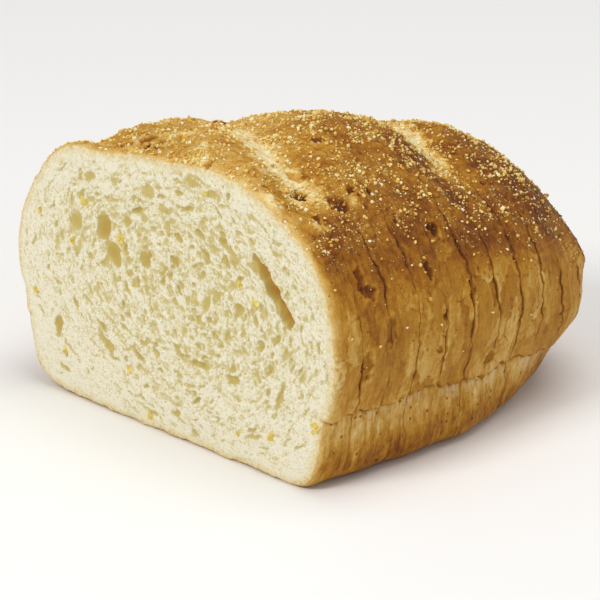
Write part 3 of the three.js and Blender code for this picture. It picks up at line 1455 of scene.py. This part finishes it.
@dataclass
class CornBits:
    """Bits of cooked corn in the crumb, cut through by the blade.

    Args:
        face_y: the open end's place along the loaf.
        spots: each bit's middle as x and z, and its size.
    """

    face_y: float
    spots: tuple[tuple[float, float, float], ...] = (
        (-39.7, 68.4, 1.9), (-45, 54.6, 1.7), (-22.3, 61.1, 2.0), (-33.3, 43.1, 0.8),
        (-64.5, 32.3, 1.6), (-50.2, 15.4, 1.7), (-18.7, 17.5, 1.8), (32.4, 60.4, 1.9),
        (39.2, 55.4, 2.1), (32, 10.8, 1.3), (45.4, 13.9, 2.2), (16.3, 85.6, 1.6),
        (65, 22.1, 2.0), (-9.5, 4.8, 2.0), (-61, 60, 1.4),
    )

    def build(self, cut: CrumbCut, material: bpy.types.Material) -> bpy.types.Object:
        """Make the bits as clusters of small soft lumps.

        Args:
            cut: the crumb that they sit in.
            material: their finish.

        Returns:
            The finished object.
        """
        chance = np.random.default_rng(SEED + 70)
        places, radii = [], []
        for x, z, size in self.spots:
            count = int(3 + 2 * size)
            spread = chance.normal(0.0, 0.36 * size, (count, 2))
            places.append(np.array([x, z]) + spread)
            radii.append(chance.uniform(0.35, 0.62, count) * size)
        place, radius = np.vstack(places), np.concatenate(radii)
        depth = np.minimum(cut.read(place[:, 0], place[:, 1]), 0.3)
        at = np.column_stack([place[:, 0], self.face_y + depth + 0.66 * radius, place[:, 1]])
        lumps = Cornmeal("corn_bits", SEED + 71, sunk=0.5, detail=2)
        out = np.tile([0.0, -1.0, 0.0], (len(at), 1))
        points, triangles, shade = lumps.scatter(at, out, radius)
        return mesh_object(
            "corn_bits", points, NO_QUADS, triangles, [material], masks={"shade": shade}
        )


# --------------------------------------
# Finishes
# --------------------------------------

Socket = bpy.types.NodeSocket
AddNode = Callable[..., bpy.types.Node]
Stops = tuple[tuple[float, str], ...]  # rising places from 0 to 1, each with its sRGB hex colour
PLUS = {"operation": "ADD"}
TIMES = {"operation": "MULTIPLY"}
TIMES_PLUS = {"operation": "MULTIPLY_ADD"}
NEAREST_CELL = {"feature": "F1"}
MOST_OF_IT = {"From Min": 0.3, "From Max": 0.7}  # the span that most of a noise's values lie in


def linear(hex_code: str) -> tuple[float, float, float, float]:
    """Turn an sRGB hex colour into linear red, green, blue and full alpha.

    Args:
        hex_code: six hex digits after a hash sign.

    Returns:
        The colour as the shader wants it.
    """
    parts = [int(hex_code[i : i + 2], 16) / 255.0 for i in (1, 3, 5)]
    red, green, blue = (
        c / 12.92 if c <= 0.04045 else ((c + 0.055) / 1.055) ** 2.4 for c in parts
    )
    return red, green, blue, 1.0


def add_node(
    tree: bpy.types.NodeTree,
    kind: str,
    settings: dict[str, object] | None = None,
    inputs: dict[str | int, object] | None = None,
    stops: Stops = (),
) -> bpy.types.Node:
    """Add a node with its settings, its values and its links.

    Args:
        tree: the material's node tree.
        kind: the node's type without the "ShaderNode" in front.
        settings: properties to set.
        inputs: a value or another node's output for each named or numbered input.
        stops: the colours of a colour ramp.

    Returns:
        The new node.
    """
    node = tree.nodes.new("ShaderNode" + kind)
    for name, value in (settings or {}).items():
        setattr(node, name, value)
    for name, value in (inputs or {}).items():
        if isinstance(value, Socket):
            tree.links.new(value, node.inputs[name])
        else:
            node.inputs[name].default_value = value
    if stops:
        elements = node.color_ramp.elements
        while len(elements) < len(stops):
            elements.new(0.5)
        for element, (place, hex_code) in zip(elements, stops):
            element.position = place
            element.color = linear(hex_code)
    return node


def empty_material(name: str) -> bpy.types.Material:
    """Make a material without nodes.

    Args:
        name: the material's name.

    Returns:
        The new material.
    """
    material = bpy.data.materials.new(name)
    material.use_nodes = True
    material.node_tree.nodes.clear()
    return material


def per_metre(size_mm: float) -> float:
    """Turn a pattern's real size in millimetres into a texture scale."""
    return 1.0 / (size_mm * MM)


@dataclass(frozen=True)
class BakedCrust:
    """Oven-baked wheat crust: dry, matt and finely wrinkled.

    Malt browning makes the colour run from straw to red-brown; flour dusts the lower side.
    """

    # To the eye it is a warm, dull skin that shines a little where it is smooth. Flakes catch the
    # light at their edges, and pale specks of meal stand proud of it.
    browning: Stops = (
        (0.0, "#EFE4BC"), (0.14, "#E6CF94"), (0.3, "#D4AC5E"), (0.46, "#BC882B"),
        (0.62, "#A06716"), (0.78, "#7C430D"), (1.0, "#4A210A"),
    )
    flour: str = "#D8BF90"
    meal_shade: str = "#E2C47C"
    # Real sizes of the patterns.
    mottle_mm: float = 1.6
    grain_mm: float = 0.45
    wrinkle_mm: float = 0.9
    bend_mm: float = 5.0
    flake_mm: tuple[float, float, float] = (12.0, 6.5, 14.0)
    streak_mm: tuple[float, float, float] = (5.0, 1.1, 5.0)
    pinhole_mm: float = 2.4
    meal_mm: float = 0.85
    ripple_mm: float = 0.8
    ripple_shift_mm: float = 0.6
    # How much each pattern adds to the browning.
    mottle_browning: float = 0.06
    grain_browning: float = 0.045
    streak_browning: float = 0.035
    # Raised flakes are painted paler, partly their own tone and partly painted light; the lines
    # between flakes are painted shade.
    flake_tone_and_light: float = -0.2
    line_shade: float = 0.3
    pinhole_browning: float = 0.3
    # How much each pattern adds to the relief, as shares of relief_mm.
    relief_mm: float = 0.25
    flake_lift: float = 1.6
    wrinkle_lift: float = 1.1
    pinhole_lift: float = -2.0
    line_lift: float = -2.0
    meal_lift: float = 1.2
    roughness: tuple[float, float] = (0.5, 0.72)
    specular: float = 0.22
    ior: float = 1.45
    subsurface: float = 0.04
    scatter_mm: float = 0.8

    def make(self) -> bpy.types.Material:
        """Build the material.

        Returns:
            The finished material.
        """
        material = empty_material("baked_wheat_crust")
        add = partial(add_node, material.node_tree)
        where = add("TexCoord").outputs["Object"]
        brown, flour, flaky, meal, foot = (
            add("Attribute", {"attribute_name": mask}).outputs["Fac"]
            for mask in ("brown", "flour", "flaky", "meal", "foot")
        )
        # Blotches the size of a dough bubble, where the oven browned the skin unevenly.
        mottle = add("TexNoise", None, {
            "Vector": where, "Scale": per_metre(self.mottle_mm), "Detail": 4.0, "Roughness": 0.62,
        }).outputs["Fac"]
        # The dry grain of the skin.
        grain = add("TexNoise", None, {
            "Vector": where, "Scale": per_metre(self.grain_mm), "Detail": 3.0, "Roughness": 0.6,
        }).outputs["Fac"]
        shift = add("MapRange", None, {
            "Value": mottle, "From Min": 0.25, "From Max": 0.75,
            "To Min": -self.mottle_browning, "To Max": self.mottle_browning,
        }).outputs["Result"]
        fleck = add("MapRange", None, {
            "Value": grain, **MOST_OF_IT,
            "To Min": -self.grain_browning, "To Max": self.grain_browning,
        }).outputs["Result"]
        level, line = self._flakes(add, where, mottle, flaky)
        # Raised flakes are painted paler: partly their own tone, partly painted light.
        paling = add("Math", TIMES, {0: level, 1: self.flake_tone_and_light}).outputs[0]
        pinhole = self._pinholes(add, where, foot)
        streak = self._streaks(add, where, foot)
        strewn = self._fine_meal(add, where, meal)
        tone = brown
        for part in (shift, fleck, paling, line, streak, pinhole):
            tone = add("Math", PLUS, {0: tone, 1: part}).outputs[0]
        colour = add("ValToRGB", None, {"Fac": tone}, self.browning).outputs["Color"]
        dust = add("Math", TIMES, {0: mottle, 1: grain}).outputs[0]
        dust = add("Math", TIMES, {0: flour, 1: dust}).outputs[0]
        dust = add(
            "MapRange", None, {"Value": dust, "From Min": 0.07, "From Max": 0.24},
        ).outputs["Result"]
        for share, shade in ((dust, self.flour), (strewn, self.meal_shade)):
            colour = add(
                "Mix", {"data_type": "RGBA"}, {"Factor": share, "A": colour, "B": linear(shade)},
            ).outputs["Result"]
        wrinkle = add("TexNoise", None, {
            "Vector": where, "Scale": per_metre(self.wrinkle_mm), "Detail": 5.0, "Roughness": 0.7,
        }).outputs["Fac"]
        rough = add("MapRange", None, {
            "Value": grain, **MOST_OF_IT,
            "To Min": self.roughness[0], "To Max": self.roughness[1],
        }).outputs["Result"]
        relief = add("Math", TIMES, {0: level, 1: self.flake_lift}).outputs[0]
        for part, lift in (
            (wrinkle, self.wrinkle_lift), (pinhole, self.pinhole_lift),
            (line, self.line_lift), (strewn, self.meal_lift),
        ):
            relief = add("Math", TIMES_PLUS, {0: part, 1: lift, 2: relief}).outputs[0]
        bump = add(
            "Bump", None, {"Strength": 1.0, "Distance": self.relief_mm * MM, "Height": relief},
        ).outputs["Normal"]
        shader = add("BsdfPrincipled", None, {
            "Base Color": colour, "Roughness": rough, "IOR": self.ior, "Normal": bump,
            "Subsurface Weight": self.subsurface, "Specular IOR Level": self.specular,
            "Subsurface Radius": (1.0, 0.45, 0.2), "Subsurface Scale": self.scatter_mm * MM,
        })
        add("OutputMaterial", None, {"Surface": shader.outputs[0]})
        return material

    def _flakes(
        self, add: AddNode, where: Socket, mottle: Socket, flaky: Socket
    ) -> tuple[Socket, Socket]:
        """Flakes of skin, each at its own level, with a thin line of painted shade between some
        neighbours.

        Args:
            add: adds a node to the material.
            where: the place on the loaf.
            mottle: the blotches, which choose where a line shows.
            flaky: how much the skin has come up in flakes.

        Returns:
            The flakes' levels and the painted shade of the lines.
        """
        # A bend, so that no flake has straight borders.
        bend = add("TexNoise", None, {
            "Vector": where, "Scale": per_metre(self.bend_mm), "Detail": 3.0,
        }).outputs["Color"]
        bent = add("VectorMath", TIMES_PLUS, {
            0: bend, 1: (self.bend_mm * MM,) * 3, 2: where,
        }).outputs["Vector"]
        flake_at = add("Mapping", None, {
            "Vector": bent, "Scale": tuple(per_metre(size) for size in self.flake_mm),
        }).outputs["Vector"]
        flake = add("TexVoronoi", NEAREST_CELL, {"Vector": flake_at, "Scale": 1.0})
        border = add("TexVoronoi", {"feature": "DISTANCE_TO_EDGE"}, {
            "Vector": flake_at, "Scale": 1.0,
        }).outputs["Distance"]
        level = add("SeparateColor", None, {"Color": flake.outputs["Color"]}).outputs["Red"]
        level = add("Math", TIMES, {0: level, 1: flaky}).outputs[0]
        # The lines along the flakes' borders are painted shade.
        line = add("MapRange", None, {
            "Value": border, "From Min": 0.0, "From Max": 0.05,
            "To Min": self.line_shade, "To Max": 0.0,
        }).outputs["Result"]
        parted = add(
            "MapRange", None, {"Value": mottle, "From Min": 0.46, "From Max": 0.56},
        ).outputs["Result"]
        for share in (parted, level):
            line = add("Math", TIMES, {0: line, 1: share}).outputs[0]
        return level, line

    def _pinholes(self, add: AddNode, where: Socket, foot: Socket) -> Socket:
        """Pinholes where small bubbles burst, the largest on the foot.

        Args:
            add: adds a node to the material.
            where: the place on the loaf.
            foot: how much of the foot is here.

        Returns:
            The browning of the pinholes.
        """
        hole = add("TexVoronoi", NEAREST_CELL, {
            "Vector": where, "Scale": per_metre(self.pinhole_mm),
        })
        chosen = add("SeparateColor", None, {"Color": hole.outputs["Color"]}).outputs["Green"]
        reach = add("MapRange", None, {
            "Value": chosen, "From Min": 0.5, "From Max": 0.9, "To Min": 0.0, "To Max": 0.13,
        }).outputs["Result"]
        reach = add("Math", TIMES_PLUS, {0: reach, 1: foot, 2: reach}).outputs[0]
        pinhole = add(
            "Math", {"operation": "LESS_THAN"}, {0: hole.outputs["Distance"], 1: reach},
        ).outputs[0]
        return add("Math", TIMES, {0: pinhole, 1: self.pinhole_browning}).outputs[0]

    def _streaks(self, add: AddNode, where: Socket, foot: Socket) -> Socket:
        """Upright streaks where the dough stretched over its foot.

        Args:
            add: adds a node to the material.
            where: the place on the loaf.
            foot: how much of the foot is here.

        Returns:
            The browning of the streaks.
        """
        streak_at = add("Mapping", None, {
            "Vector": where, "Scale": tuple(per_metre(size) for size in self.streak_mm),
        }).outputs["Vector"]
        streak = add("TexNoise", None, {
            "Vector": streak_at, "Scale": 1.0, "Detail": 4.0, "Roughness": 0.6,
        }).outputs["Fac"]
        streak = add("MapRange", None, {
            "Value": streak, **MOST_OF_IT,
            "To Min": -self.streak_browning, "To Max": self.streak_browning,
        }).outputs["Result"]
        stronger = add("Math", TIMES, {0: foot, 1: 1.6}).outputs[0]
        return add("Math", TIMES_PLUS, {0: streak, 1: stronger, 2: streak}).outputs[0]

    def _fine_meal(self, add: AddNode, where: Socket, meal: Socket) -> Socket:
        """Fine meal between the grits: specks of many sizes.

        Args:
            add: adds a node to the material.
            where: the place on the loaf.
            meal: how much fine meal is here.

        Returns:
            How much each place is covered.
        """
        ripple = add("TexNoise", None, {
            "Vector": where, "Scale": per_metre(self.ripple_mm), "Detail": 2.0,
        }).outputs["Color"]
        rippled = add("VectorMath", TIMES_PLUS, {
            0: ripple, 1: (self.ripple_shift_mm * MM,) * 3, 2: where,
        }).outputs["Vector"]
        speck = add("TexVoronoi", NEAREST_CELL, {
            "Vector": rippled, "Scale": per_metre(self.meal_mm),
        })
        size = add("SeparateColor", None, {"Color": speck.outputs["Color"]}).outputs["Blue"]
        for share in (meal, 0.62):
            size = add("Math", TIMES, {0: size, 1: share}).outputs[0]
        proud = add(
            "Math", {"operation": "SUBTRACT"}, {0: size, 1: speck.outputs["Distance"]},
        ).outputs[0]
        return add("MapRange", None, {
            "Value": proud, "From Min": 0.0, "From Max": 0.12, "To Min": 0.0, "To Max": 0.75,
        }).outputs["Result"]


@dataclass(frozen=True)
class SoftCrumb:
    """Cut wheat crumb: soft, matt and full of gas cells, with painted highlight on the thin walls
    and painted shade in the cells.
    """

    # To the eye it is cream where the walls catch the light and straw in the cells, both painted
    # highlight and shade, with light soaking a little way in and no shine.
    # Colours by depth behind the cut: cream on the cut, then painted shade deeper in the cells.
    cells: Stops = (
        (0.0, "#F4EDD5"), (0.1, "#E7DCB4"), (0.24, "#D2C284"), (0.5, "#C2AB5E"), (0.8, "#B48E3D"),
        (1.0, "#A87226"),
    )
    # Rind colours; their dark end, used on the hidden cuts, is painted shade in the gaps between
    # slices.
    rind: Stops = (
        (0.0, "#F2EACC"), (0.3, "#EBDCAE"), (0.55, "#DDB87C"), (0.8, "#BC8A44"), (1.0, "#8A5722"),
    )
    deepest_mm: float = 3.0
    pore_mm: float = 0.6
    wall_mm: float = 1.25
    wall_bend_mm: float = 2.0
    wall_shift_mm: float = 2.2
    fibre_mm: float = 0.3
    fibre_shade: float = 0.07
    relief_mm: float = 0.3
    roughness: tuple[float, float] = (0.78, 0.92)
    specular: float = 0.25
    ior: float = 1.4
    subsurface: float = 0.2
    scatter_mm: float = 0.45

    def make(self) -> bpy.types.Material:
        """Build the material.

        Returns:
            The finished material.
        """
        material = empty_material("soft_wheat_crumb")
        add = partial(add_node, material.node_tree)
        where = add("TexCoord").outputs["Object"]
        depth = add("Attribute", {"attribute_name": "depth"}).outputs["Fac"]
        rind = add("Attribute", {"attribute_name": "rind"}).outputs["Fac"]
        # Pinhole cells, too small to be cut out of the mesh: painted shade in their middles and
        # painted highlight at their rims.
        pores = add("TexVoronoi", NEAREST_CELL, {
            "Vector": where, "Scale": per_metre(self.pore_mm), "Randomness": 1.0,
        }).outputs["Distance"]
        fibre = add("TexNoise", None, {
            "Vector": where, "Scale": per_metre(self.fibre_mm), "Detail": 3.0, "Roughness": 0.6,
        }).outputs["Fac"]
        pit = add("MapRange", None, {
            "Value": pores, "From Min": 0.05, "From Max": 0.55, "To Min": 0.15, "To Max": -0.07,
        }).outputs["Result"]
        # The floor of an open cell is smooth.
        shallow = add("MapRange", None, {
            "Value": depth, "From Min": 0.4, "From Max": 1.2, "To Min": 1.0, "To Max": 0.12,
        }).outputs["Result"]
        pit = add("Math", TIMES, {0: pit, 1: shallow}).outputs[0]
        # The deeper the crumb lies behind the cut, the darker it is painted: painted shade in the
        # cells.
        level = add("MapRange", None, {
            "Value": depth, "From Min": 0.0, "From Max": self.deepest_mm,
            "To Min": 0.0, "To Max": 1.0,
        }).outputs["Result"]
        level = add("Math", {"operation": "POWER"}, {0: level, 1: 0.8}).outputs[0]
        level = add("Math", PLUS, {0: level, 1: pit}).outputs[0]
        fuzz = add("MapRange", None, {
            "Value": fibre, **MOST_OF_IT,
            "To Min": -self.fibre_shade, "To Max": self.fibre_shade,
        }).outputs["Result"]
        wall = self._wall_highlight_and_cell_shade(add, where, shallow)
        # The walls' painted highlight and the cells' painted shade join the fibres here.
        fuzz = add("Math", PLUS, {0: fuzz, 1: wall}).outputs[0]
        level = add("Math", PLUS, {0: level, 1: fuzz}).outputs[0]
        inner = add("ValToRGB", None, {"Fac": level}, self.cells).outputs["Color"]
        # Rind, with painted shade of the gaps on the hidden cuts.
        edge = add("Math", PLUS, {0: rind, 1: fuzz}).outputs[0]
        edge_colour = add("ValToRGB", None, {"Fac": edge}, self.rind).outputs["Color"]
        edge_share = add(
            "MapRange", None, {"Value": edge, "From Min": 0.02, "From Max": 0.3},
        ).outputs["Result"]
        colour = add(
            "Mix", {"data_type": "RGBA"}, {"Factor": edge_share, "A": inner, "B": edge_colour},
        ).outputs["Result"]
        height = add("Math", TIMES, {0: fibre, 1: 0.5}).outputs[0]
        height = add("Math", PLUS, {0: height, 1: pores}).outputs[0]
        height = add("Math", TIMES, {0: height, 1: shallow}).outputs[0]
        bump = add(
            "Bump", None, {"Strength": 1.0, "Distance": self.relief_mm * MM, "Height": height},
        ).outputs["Normal"]
        rough = add("MapRange", None, {
            "Value": fibre, **MOST_OF_IT,
            "To Min": self.roughness[0], "To Max": self.roughness[1],
        }).outputs["Result"]
        shader = add("BsdfPrincipled", None, {
            "Base Color": colour, "Roughness": rough, "IOR": self.ior, "Normal": bump,
            "Subsurface Weight": self.subsurface, "Subsurface Radius": (1.0, 0.8, 0.45),
            "Subsurface Scale": self.scatter_mm * MM, "Specular IOR Level": self.specular,
        })
        add("OutputMaterial", None, {"Surface": shader.outputs[0]})
        return material

    def _wall_highlight_and_cell_shade(self, add: AddNode, where: Socket, shallow: Socket) -> Socket:
        """Painted highlight on the thin walls between cells of about a millimetre, and painted
        shade in the cells.

        Args:
            add: adds a node to the material.
            where: the place on the loaf.
            shallow: 1 on the cut itself, less inside an open cell.

        Returns:
            How much darker or paler each place is.
        """
        bend = add("TexNoise", None, {
            "Vector": where, "Scale": per_metre(self.wall_bend_mm), "Detail": 3.0,
        }).outputs["Color"]
        bent = add("VectorMath", TIMES_PLUS, {
            0: bend, 1: (self.wall_shift_mm * MM,) * 3, 2: where,
        }).outputs["Vector"]
        wall = add("TexVoronoi", NEAREST_CELL, {
            "Vector": bent, "Scale": per_metre(self.wall_mm), "Randomness": 1.0,
        }).outputs["Distance"]
        wall = add("MapRange", None, {
            "Value": wall, "From Min": 0.15, "From Max": 0.65, "To Min": 0.11, "To Max": -0.08,
        }).outputs["Result"]
        return add("Math", TIMES, {0: wall, 1: shallow}).outputs[0]


@dataclass(frozen=True)
class CoarseCornmeal:
    """Coarse-ground dried corn: hard, glassy grits from deep gold to cream."""

    # To the eye they are bright specks with hard edges, some of which glint. Cooked corn takes
    # the same material, softer, wetter and more even.
    name: str = "coarse_cornmeal"
    shades: Stops = (
        (0.0, "#B98232"), (0.2, "#D9A944"), (0.45, "#E6C664"), (0.7, "#F0DE98"), (1.0, "#F9F1D2"),
    )
    roughness: tuple[float, float] = (0.35, 0.6)
    grain_mm: float = 0.35
    grain_shade: float = 0.14
    relief_mm: float = 0.1
    ior: float = 1.5
    subsurface: float = 0.15
    scatter_mm: float = 0.6

    def make(self) -> bpy.types.Material:
        """Build the material.

        Returns:
            The finished material.
        """
        material = empty_material(self.name)
        add = partial(add_node, material.node_tree)
        where = add("TexCoord").outputs["Object"]
        shade = add("Attribute", {"attribute_name": "shade"}).outputs["Fac"]
        # Floury and glassy parts of the broken kernel.
        grain = add("TexNoise", None, {
            "Vector": where, "Scale": per_metre(self.grain_mm), "Detail": 2.0,
        }).outputs["Fac"]
        drift = add("MapRange", None, {
            "Value": grain, **MOST_OF_IT,
            "To Min": -self.grain_shade, "To Max": self.grain_shade,
        }).outputs["Result"]
        tone = add("Math", PLUS, {0: shade, 1: drift}).outputs[0]
        colour = add("ValToRGB", None, {"Fac": tone}, self.shades).outputs["Color"]
        rough = add("MapRange", None, {
            "Value": grain, "To Min": self.roughness[0], "To Max": self.roughness[1],
        }).outputs["Result"]
        bump = add(
            "Bump", None, {"Strength": 0.4, "Distance": self.relief_mm * MM, "Height": grain},
        ).outputs["Normal"]
        shader = add("BsdfPrincipled", None, {
            "Base Color": colour, "Roughness": rough, "IOR": self.ior, "Normal": bump,
            "Subsurface Weight": self.subsurface, "Subsurface Radius": (1.0, 0.7, 0.25),
            "Subsurface Scale": self.scatter_mm * MM,
        })
        add("OutputMaterial", None, {"Surface": shader.outputs[0]})
        return material


@dataclass(frozen=True)
class MattPaper:
    """Seamless studio paper: pale, matt and even, with the faintest tooth."""

    # To the eye it is a plain ground that takes soft shadows and never shines.
    colour: str = "#F6F5F3"
    tooth_mm: float = 1.5
    relief_mm: float = 0.1
    roughness: float = 0.9

    def make(self) -> bpy.types.Material:
        """Build the material.

        Returns:
            The finished material.
        """
        material = empty_material("matt_studio_paper")
        add = partial(add_node, material.node_tree)
        where = add("TexCoord").outputs["Object"]
        tooth = add(
            "TexNoise", None, {"Vector": where, "Scale": per_metre(self.tooth_mm)},
        ).outputs["Fac"]
        bump = add(
            "Bump", None, {"Strength": 0.05, "Distance": self.relief_mm * MM, "Height": tooth},
        ).outputs["Normal"]
        shader = add("BsdfPrincipled", None, {
            "Base Color": linear(self.colour), "Roughness": self.roughness, "Normal": bump,
        })
        add("OutputMaterial", None, {"Surface": shader.outputs[0]})
        return material


# --------------------------------------
# Studio
# --------------------------------------


@dataclass(frozen=True)
class SoftLight:
    """A soft box: a large square light that faces the loaf, in metres and watts."""

    name: str
    at: tuple[float, float, float]
    side: float
    power: float
    colour: str = "#FFFFFF"

    def build(self, aim: Vector) -> bpy.types.Object:
        """Hang the light.

        Args:
            aim: what it faces.

        Returns:
            The light.
        """
        lamp = bpy.data.lights.new(self.name, "AREA")
        lamp.size = self.side
        lamp.energy = self.power
        lamp.color = linear(self.colour)[:3]
        made = bpy.data.objects.new(self.name, lamp)
        made.location = self.at
        made.rotation_mode = "QUATERNION"
        made.rotation_quaternion = (aim - Vector(self.at)).to_track_quat("-Z", "Y")
        bpy.context.scene.collection.objects.link(made)
        return made


@dataclass
class Studio:
    """The pale floor, the soft light and the camera, in metres, degrees and millimetres of lens.

    The camera's azimuth is its turn round the loaf, from -Y towards +X.
    """

    azimuth: float = 45.7
    elevation: float = 20.8
    distance: float = 1.2
    lens: float = 221.3
    aim: tuple[float, float, float] = (-0.0062, -0.0106, 0.0278)
    nearest: float = 0.05
    floor_side: float = 12.0
    sky: str = "#FFFFFF"
    sky_strength: float = 0.45
    lights: tuple[SoftLight, ...] = (
        SoftLight("key_softbox", (0.0, -1.3, 1.15), 0.5, 11.6),
        SoftLight("top_softbox", (0.25, 0.2, 1.5), 1.0, 9.0),
        SoftLight("side_softbox", (1.5, -0.1, 0.8), 0.9, 1.5),
    )

    def build(self) -> bpy.types.Object:
        """Set up the studio.

        Returns:
            The floor.
        """
        scene = bpy.context.scene
        scene.view_settings.view_transform = "Standard"
        world = bpy.data.worlds.new("studio_sky")
        world.use_nodes = True
        background = world.node_tree.nodes["Background"]
        background.inputs["Color"].default_value = linear(self.sky)
        background.inputs["Strength"].default_value = self.sky_strength
        scene.world = world
        for light in self.lights:
            light.build(Vector(self.aim))
        self._add_camera()
        return self._add_floor()

    def _add_camera(self) -> None:
        """Place the camera and make it the scene's."""
        turn, lift = math.radians(self.azimuth), math.radians(self.elevation)
        back = Vector(
            (math.sin(turn) * math.cos(lift), -math.cos(turn) * math.cos(lift), math.sin(lift))
        )
        lens = bpy.data.cameras.new("camera")
        lens.lens = self.lens
        lens.clip_start = self.nearest
        camera = bpy.data.objects.new("camera", lens)
        camera.location = Vector(self.aim) + back * self.distance
        camera.rotation_mode = "QUATERNION"
        camera.rotation_quaternion = (-back).to_track_quat("-Z", "Y")
        bpy.context.scene.collection.objects.link(camera)
        bpy.context.scene.camera = camera

    def _add_floor(self) -> bpy.types.Object:
        """Lay the floor that the loaf rests on.

        Returns:
            The floor.
        """
        signs = np.array([[-1, -1, 0], [1, -1, 0], [1, 1, 0], [-1, 1, 0]], float)
        corners = signs * (self.floor_side / 2 / MM)
        quad = np.array([[0, 1, 2, 3]])
        return mesh_object("studio_floor", corners, quad, NO_TRIANGLES, [MattPaper().make()])


# --------------------------------------
# The whole loaf
# --------------------------------------


@dataclass
class CornLoaf:
    """The sliced loaf: its slices and heel, in order from the cut end.

    A slice is pitch thick, and round_step is the distance between points round its crust.
    """

    nodes: dict[str, bpy.types.Object]
    pitch: float = 12.0
    round_step: float = 0.48
    end_fineness: Fineness = Fineness(along_step=0.52, front_step=0.44, back_step=1.8)
    heel_fineness: Fineness = Fineness(along_step=0.6)
    front_cells: tuple[Cell, ...] = (
        Cell((42.5, 66.2), (6.6, 1.9), -42, 2.6), Cell((47.6, 60.2), (7.5, 2.4), -48, 3.0),
        Cell((51.7, 55.2), (5.6, 2.2), -56, 2.7), Cell((49.4, 27.8), (6.0, 0.95), -110, 1.1),
        Cell((-30.3, 62.4), (5.2, 3.6), 52, 1.9), Cell((-26.2, 55.2), (4.8, 3.6), -68, 1.7),
        Cell((-43.3, 61), (3.9, 3.0), 66, 1.3), Cell((-18.4, 67.4), (2.0, 1.4), 20, 1.0),
        Cell((-10.7, 56.1), (3.5, 2.6), -48, 1.6), Cell((-37, 77.4), (3.0, 1.3), 12, 1.1),
        Cell((-36.3, 70.3), (3.0, 1.0), 8, 0.9), Cell((10.5, 87.1), (4.8, 1.3), -8, 1.1),
        Cell((20.3, 85.7), (2.7, 1.8), -25, 1.1), Cell((-53.9, 23.1), (4.2, 2.0), 72, 1.4),
        Cell((-50.4, 9.1), (3.5, 1.3), -20, 1.0), Cell((8, 48.6), (2.0, 1.3), 30, 1.0),
        Cell((16.7, 49.3), (2.5, 1.8), 60, 1.1), Cell((21.2, 53.8), (2.3, 1.7), -55, 1.1),
        Cell((6, 38), (1.8, 1.3), 65, 0.9), Cell((7.3, 31.7), (1.3, 1.0), 0, 0.7),
        Cell((19.7, 34.5), (1.6, 1.0), 20, 0.8), Cell((31, 51.5), (2.7, 2.2), 80, 1.2),
        Cell((28.5, 68.8), (2.6, 1.6), -35, 1.1), Cell((-30.2, 23.2), (5.2, 1.1), -32, 1.2),
        Cell((38.0, 11.6), (4.3, 0.9), 14, 0.9), Cell((-14.1, 71.5), (2.6, 0.9), 18, 1.5),
        Cell((1.4, 59.7), (2.3, 0.9), -12, 1.5), Cell((4.9, 50.3), (1.5, 0.8), -50, 1.6),
        Cell((16.9, 65.7), (3.4, 1.1), -38, 1.4), Cell((-8.8, 58.6), (1.4, 1.0), -20, 1.6),
        Cell((30.6, 51.8), (2.2, 1.8), 80, 1.5), Cell((13.4, 43.4), (1.6, 1.3), 30, 1.2),
        Cell((-19.8, 66.7), (2.4, 1.8), 10, 1.3),
    )

    def build(self) -> list[bpy.types.Object]:
        """Returns:
            The pieces.
        """
        names = sorted(name for name in self.nodes if name.startswith("slice")) + ["heel"]
        skin = LoafSkin.from_solids(self.nodes, names)
        # Every piece has its points at the same angles, so that neighbours meet along their cut.
        widest = skin.ring_radius[np.argmax(skin.ring_radius.mean(axis=1))]
        angle = skin.even_angles(widest, self.round_step)
        crust, first_y = Crust(), skin.ring_y[0]
        baked, soft, grits = BakedCrust().make(), SoftCrumb().make(), CoarseCornmeal().make()
        corn = CoarseCornmeal(
            "cooked_corn", shades=((0.0, "#DDB53E"), (0.5, "#E9CD62"), (1.0, "#F3E39C")),
            roughness=(0.3, 0.5), grain_mm=0.8, ior=1.4, subsurface=0.4,
        ).make()
        others = range(1, len(names))
        cuts = [BladeCut(first_y, 0, end=True)]
        cuts += [BladeCut(first_y + self.pitch * i, i) for i in others] + [None]
        crumbs = [CrumbCut(SEED + 10, fine=True, cells=self.front_cells)]
        crumbs += [CrumbCut(SEED + 10 + i, fine=False) for i in others] + [None]
        fineness = [self.end_fineness] + [Fineness()] * (len(names) - 2) + [self.heel_fineness]
        pieces = []
        for i, name in enumerate(names):
            piece = LoafPiece(
                name, angle, skin, crust, cuts[i], crumbs[i], cuts[i + 1], crumbs[i + 1],
                fineness[i],
            )
            made = piece.build([baked, soft])
            self._declare(made, name, Slot.CRUST)
            grains = Cornmeal("cornmeal_" + name, SEED + 200 + i).on_crust(piece, grits)
            self._declare(grains, name, Slot.CORNMEAL)
            pieces += [made, grains]
            faces, grit_faces = len(made.data.polygons), len(grains.data.polygons)
            LOG.info("%s: %d faces, %d grit faces", name, faces, grit_faces)
        bits = CornBits(first_y).build(crumbs[0], corn)
        self._declare(bits, names[0], Slot.CORNMEAL)
        LOG.info("corn bits: %d faces", len(bits.data.polygons))
        return pieces + [bits]

    @staticmethod
    def _declare(piece: bpy.types.Object, node: str, slot: Slot) -> None:
        """Hang a piece on the body that it rides on, and hide the solid that it stands for.

        Args:
            piece: the new piece.
            node: the solid that it stands for.
            slot: the record's slot of its finish; not used.
        """
        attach(piece, BODY)
        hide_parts(node)


def main() -> None:
    """Build the studio and the loaf, and report each piece."""
    logging.basicConfig(level=logging.INFO, format="%(name)s: %(message)s")
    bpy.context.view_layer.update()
    floor = Studio().build()
    LOG.info("studio ready")
    CornLoaf(frame["nodes"]).build()


if __name__ == "__main__":
    main()
